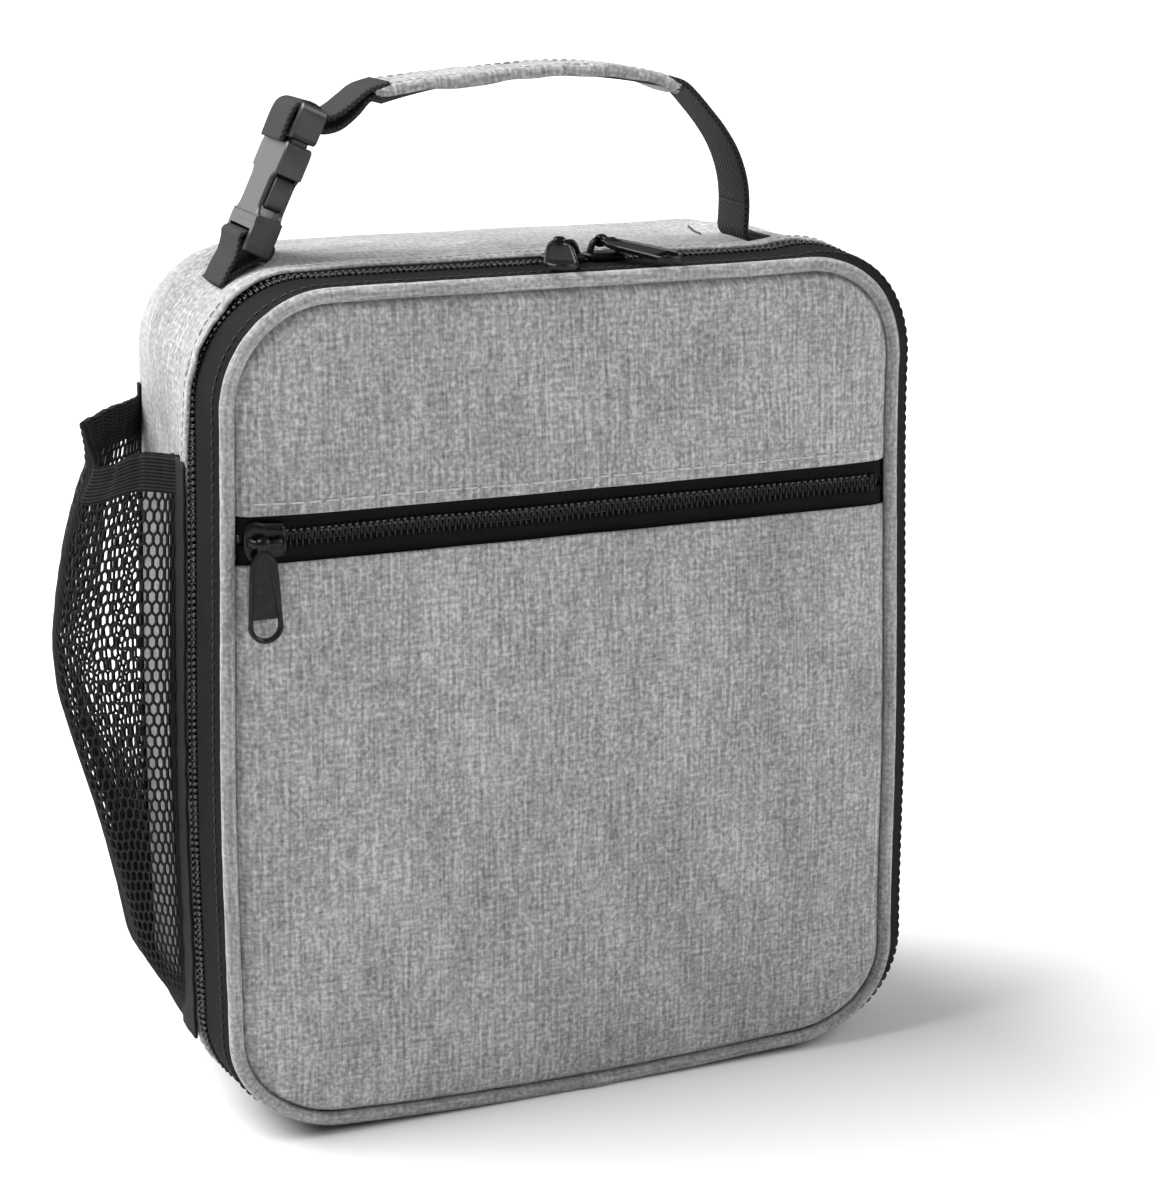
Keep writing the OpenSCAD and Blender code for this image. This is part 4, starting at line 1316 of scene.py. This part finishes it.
def make_net():
    """Hexagonal knitted net, one flat cell for each cell of the cut cloth."""
    wide = math.sqrt(3) * NET_SIDE
    cols, rows = int(NET_FLAT_W / wide), int(NET_FLAT_H / (1.5 * NET_SIDE))
    flat, faces = hexagons(cols, rows, wide)
    u = flat[:, 0] / ((cols + 0.5) * wide)
    v = flat[:, 1] / ((1.5 * rows + 0.5) * NET_SIDE)
    even = np.linspace(0, 1, 241)
    crowd = np.cumsum(0.34 + 0.66 * smooth(0.05, 0.17, even))
    crowd = (crowd - crowd[0]) / (crowd[-1] - crowd[0])
    for level in np.unique(v):
        run = distances(net_point(even, level * NET_TOP))
        u[v == level] = np.interp(np.interp(u[v == level], even, crowd), run / run[-1], even)
    pull = np.sin(math.pi * np.clip(u, 0, 1)) * np.sin(math.pi * np.clip(v, 0, 1))
    u = np.clip(u + 0.006 * pull * ripple(flat[:, 0], flat[:, 1], size=16, seed=63), 0, 1)
    v = np.clip(v + 0.005 * pull * ripple(flat[:, 0], flat[:, 1], size=18, seed=65), 0, 1)
    points = net_point(u, v * NET_TOP)
    ob = add_mesh("net_mesh", points, faces, NET, "bag_body", "net", flat, ("net_pocket",))
    wire = ob.modifiers.new("threads", "WIREFRAME")
    wire.thickness = NET_THREAD * MM
    wire.use_replace = True
    wire.use_even_offset = False


def make_elastic():
    """Ribbed elastic folded over the net's rim."""
    u = np.linspace(0.0, 1.0, 150)
    drop = np.linspace(0, 1, 41)
    band_v = ELASTIC_H / 180
    ribs = 0.28 * np.abs(np.sin(math.pi * ELASTIC_RIBS * drop))
    outer = np.stack([net_point(u, 1 - band_v * d, 1.1 + r) for d, r in zip(drop, ribs)], axis=1)
    inner = np.stack([net_point(u, 1 - band_v * d, -1.0 - r) for d, r in zip(drop[::-1], ribs[::-1])],
        axis=1)
    top = net_point(u, 1.0)[:, None] + np.array([0, 0, 0.7])
    points = np.concatenate([outer, inner, top], axis=1)
    points[..., 2] += 0.35 * ripple(u[:, None] * 110, points[..., 0] * 0, size=22, seed=67)
    rows, cols = points.shape[:2]
    add_mesh("net_elastic", points, capped_faces(rows, cols), ELASTIC, "bag_body", "black_binding",
        cloth_places(np.arange(cols) * 0.3, u * 110), ("net_pocket_elastic",))


def seam_tape(name, points, weave):
    add_mesh(name, points, capped_faces(*points.shape[:2]), BINDING, "bag_body", "black_binding", weave)


def make_net_seams():
    """Narrow tapes that hold the net's edges to the side."""
    for name, y, w, top, lift in (("front", NET_Y0 - 1.5, 14.0, NET_FRONT_TOP, 1.4),
            ("rear", NET_Y1, 3.6, NET_REAR_TOP, 0.55)):
        z = np.linspace(NET_Z0 + 1, top, 90)[:, None]
        profile = np.array(strip_profile(-w / 2, w / 2, -0.5, 1.0, 5))
        yy, zz = np.broadcast_arrays(y + profile[:, 0], z)
        out = lift + profile[:, 1] + 0.12 * ripple(z, yy, size=9, seed=69)
        points = settle(np.stack([-HALF - wall_out(yy) - out, yy, zz], axis=-1))
        seam_tape(f"net_seam_{name}", points, np.stack([yy, zz], axis=-1))
    y = np.linspace(NET_Y0 - 1.5, NET_Y1 + 1.5, 40)[:, None]
    profile = np.array(strip_profile(-1.9, 1.9, -0.5, 1.0, 5))
    yy, zz = np.broadcast_arrays(y, NET_Z0 + 2 + profile[:, 0])
    wall = CORNER_R - np.sqrt(CORNER_R ** 2 - np.maximum(0, CORNER_R - zz) ** 2)
    points = settle(np.stack([-HALF + wall - wall_out(y) - 0.6 - profile[:, 1], yy, zz], axis=-1))
    seam_tape("net_seam_foot", points, np.stack([zz, points[..., 1]], axis=-1))


# ---------- zip sliders and pulls ----------

PLATE_T = 1.2
PULL_L = 28.0


def framed(origin, x, y, z):
    """Places local points with the given axes."""
    origin, axes = np.asarray(origin, float), np.array([x, y, z], float)
    return lambda p: origin + np.asarray(p, float) @ axes


def swept(name, path, half_w, half_t, place, mat, sides=14):
    """A bar of oval section along a path in the local XZ plane, wide along local Y."""
    turn = np.linspace(0, 2 * math.pi, sides, endpoint=False)
    rings = np.array([[(p[0] - d[1] * t * math.sin(a), w * math.cos(a), p[1] + d[0] * t * math.sin(a))
        for a in turn] for p, d, w, t in zip(path, directions(path), half_w, half_t)])
    return add_mesh(name, place(rings), capped_faces(len(path), sides), mat)


def slider_outline():
    """Shield-shaped plate: a wide shouldered nose at -X and a narrower tail."""
    half = curve_through([(6.0, 2.6), (5.6, 3.7), (3.0, 4.2), (0.0, 4.7), (-2.6, 5.4), (-4.4, 5.1),
        (-5.6, 3.4), (-6.0, 1.4)], 0.7)
    return [tuple(p) for p in half] + [(x, -y) for x, y in half[::-1]]


def make_slider(name, body, place, coil_top, coil_low, bar_h):
    """Two plates joined by a neck, with lips beside the coil and a bridge for the pull.
    Local X runs along the zip, Y across it and Z out of the bag."""
    top = coil_top + 0.7
    low = coil_low - 0.4
    outline = slider_outline()
    dome = [(top, 0.3), (top + 0.25, 0), (top + PLATE_T - 0.45, 0.05), (top + PLATE_T - 0.1, 0.5),
        (top + PLATE_T + 0.1, 1.4)]
    parts = [slab(name + "_body", outline, dome, place, METAL)]
    parts.append(slab("under", outline, [(low - PLATE_T, 0.4), (low - PLATE_T + 0.3, 0), (low - 0.2, 0),
        (low, 0.3)], place, METAL))
    parts.append(box_shape("neck", (-5.2, -0.28, low - 0.2), (-3.0, 0.28, top + 0.2), place, METAL))
    for side in (-1, 1):
        parts.append(slab("lip", [(5.4, side * 3.9), (5.4, side * 4.5), (0.0, side * 5.0), (-2.6, side * 5.6),
            (-4.4, side * 5.2), (-4.2, side * 4.6), (-2.6, side * 4.9), (0.0, side * 4.3)],
            [(top - 0.55, 0.1), (top - 0.4, 0), (top + 0.6, 0)], place, METAL))
    foot = top + PLATE_T - 0.3
    path = curve_through([(-4.6, foot), (-4.4, foot + 0.9), (-3.3, bar_h - 0.25), (-1.6, bar_h), (1.6, bar_h),
        (3.3, bar_h - 0.25), (4.4, foot + 0.9), (4.6, foot)], 0.45)
    ends = np.clip((np.abs(path[:, 0]) - 2.6) / 1.8, 0, 1)
    parts.append(swept("bridge", path, 1.0 + 0.6 * ends, 0.85 + 0.1 * ends, place, METAL))
    finish_hard(merge(parts), body, (name,), width=0.16, segments=2)


# The pull's eye as (place along its barrel, share of the barrel's radius), and its bore
EYE = [(-1.7, 0.72), (-1.45, 0.86), (-0.8, 0.97), (0, 1.0), (0.8, 0.97), (1.45, 0.86), (1.7, 0.72)]
EYE_BORE = 1.15
EYE_SIDES = 24


def make_pull(name, body, place, barrel_r):
    """A pull whose eye turns on the bridge. It points to local -Y and has a D-shaped hole."""
    tip = -PULL_L + 5.0
    half = ([(1.6, -1.2), (1.9, -2.4), (3.1, -4.0), (3.75, -5.4), (4.1, -9.0), (4.85, tip)]
        + arc(0, tip, 5.0, -6, -90, 9)[:-1])
    outline = half + [(0, -PULL_L)] + [(-x, y) for x, y in half[::-1]]
    levels = [(-0.75, 0.3), (-0.45, 0), (0.45, 0), (0.75, 0.3), (0.75, 0.8), (0.4, 1.15)]
    plate = slab(name + "_body", outline, levels, place, METAL)
    hole = [(3.55, tip + 1.9)] + arc(0, tip - 0.05, 3.6, 0, -180, 13) + [(-3.55, tip + 1.9)]
    carve(plate, [slab("hole", hole, [(-3, 0), (3, 0)], place, METAL)])

    def ring(x, r):
        return [(x, r * math.cos(a), r * math.sin(a))
            for a in np.linspace(0, 2 * math.pi, EYE_SIDES, endpoint=False)]

    rings = [ring(x, share * barrel_r) for x, share in EYE] + [ring(x, EYE_BORE) for x in (1.7, -1.7)]
    eye = add_mesh("eye", place(np.array(rings)), grid_faces(len(rings), EYE_SIDES, True, True), METAL)
    finish_hard(merge([plate, eye]), body, (name,), width=0.14, segments=2)


def turned(skew, tilt, x, y, z):
    """Axes turned by skew in their XY plane and then tilted about X, in degrees."""
    axes = Matrix.Rotation(math.radians(tilt), 3, "X") @ Matrix.Rotation(math.radians(skew), 3, "Z")
    local = np.array(axes).T
    return local @ np.array([x, y, z], float)


RIGHT, BACK, UP = (1, 0, 0), (0, 1, 0), (0, 0, 1)
LEFT, FORWARD = (-1, 0, 0), (0, -1, 0)
MAIN_BAR, POCKET_BAR = 5.6, 4.6
LEFT_SLIDER_X, RIGHT_SLIDER_X, POCKET_SLIDER_X = 5.0, 18.0, -HALF + 13


def make_sliders():
    for side, x, nose in (("left", LEFT_SLIDER_X, RIGHT), ("right", RIGHT_SLIDER_X, LEFT)):
        make_slider("main_slider_" + side, side + "_slider", framed((x, ZIP_Y, HEIGHT), nose, BACK, UP),
            0.4, -1.8, MAIN_BAR)
    make_slider("pocket_slider", "front_slider",
        framed((POCKET_SLIDER_X, FRONT_Y, POCKET_ZIP_Z), RIGHT, UP, FORWARD), -0.3, -2.5, POCKET_BAR)


def make_pulls():
    for side, x, skew in (("left", LEFT_SLIDER_X, -20), ("right", RIGHT_SLIDER_X, 31)):
        make_pull("main_pull_" + side, side + "_pull", framed((x - 1, ZIP_Y, HEIGHT + MAIN_BAR),
            *turned(skew, 7, RIGHT, BACK, UP)), 1.9)
    make_pull("pocket_pull", "front_pull",
        framed((POCKET_SLIDER_X - 1.5, FRONT_Y - POCKET_BAR, POCKET_ZIP_Z), RIGHT, UP, FORWARD), 2.1)


def make_zip_stops():
    pocket, main = [], []
    for side in (-1, 1):
        at = settle(np.array([side * (HALF - PANEL_INSET - 5), FRONT_Y + 0.6, POCKET_ZIP_Z]))
        pocket.append(box_shape("pocket_zip_end_stops_body", (-0.8, -2.6, -0.7), (0.8, 2.6, 0.5),
            framed(at, RIGHT, UP, FORWARD), METAL))
    finish_hard(merge(pocket), "door", ("pocket_zip_end_stops",), width=0.3)
    for side in (-1, 1):
        place, normal, ahead = rim_frames(np.array([-side * (HINGE_HALF + 2.2)]), ZIP_Y + 2.0, -2.2)
        main.append(box_shape("main_zip_end_stops_body", (-1.5, -1.5, -0.6), (1.5, 1.5, 0.9),
            framed(place[0], ahead[0], BACK, normal[0]), METAL))
    finish_hard(merge(main), "bag_body", ("main_zip_end_stops",), width=0.3)


# ---------- stitching ----------

def rim_stitches(name, y, out, body, mat, slot):
    """A row of stitches round the taped part of the rim. On the strip it follows the lap over the zip."""
    s = along(TAPED_FROM + 3, TAPED_TO - 3, 1.5)
    place, normal, _ = rim_frames(s, y, out)
    if body == "bag_body":
        place += normal * (LAP_LIFT * lap(s, y))[:, None]
        place[:, 1] -= lap(s, y)
    stitches(name, place, normal, mat, body, slot)


def make_stitching():
    x = np.linspace(-HALF + 9, HALF - 9, 160)
    z = np.full_like(x, BAND_HIGH + 2.9)
    line = settle(np.stack([x, front_face(x, z) + 0.02, z + pocket_sag(x)], axis=-1))
    stitches("pocket_stitches_upper", line, (0, -1, 0), GREY_THREAD, "door", "grey_fabric", pitch=5.0,
        length=1.7)
    rim_stitches("gusset_stitches", BODY_TAPE_Y0 + 4.9, 1.1, "bag_body", GREY_THREAD, "grey_fabric")
    rim_stitches("door_tape_stitches", FRONT_Y + 6.5, 0.05, "door", BLACK_THREAD, "zip_tape")


make_foam()
make_net()
make_elastic()
make_net_seams()
make_sliders()
make_pulls()
make_zip_stops()
make_stitching()

# ---------- the CAD node that stays, in a better material ----------

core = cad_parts["grip_webbing_core"].data.materials
core.clear()
core.append(WEBBING)
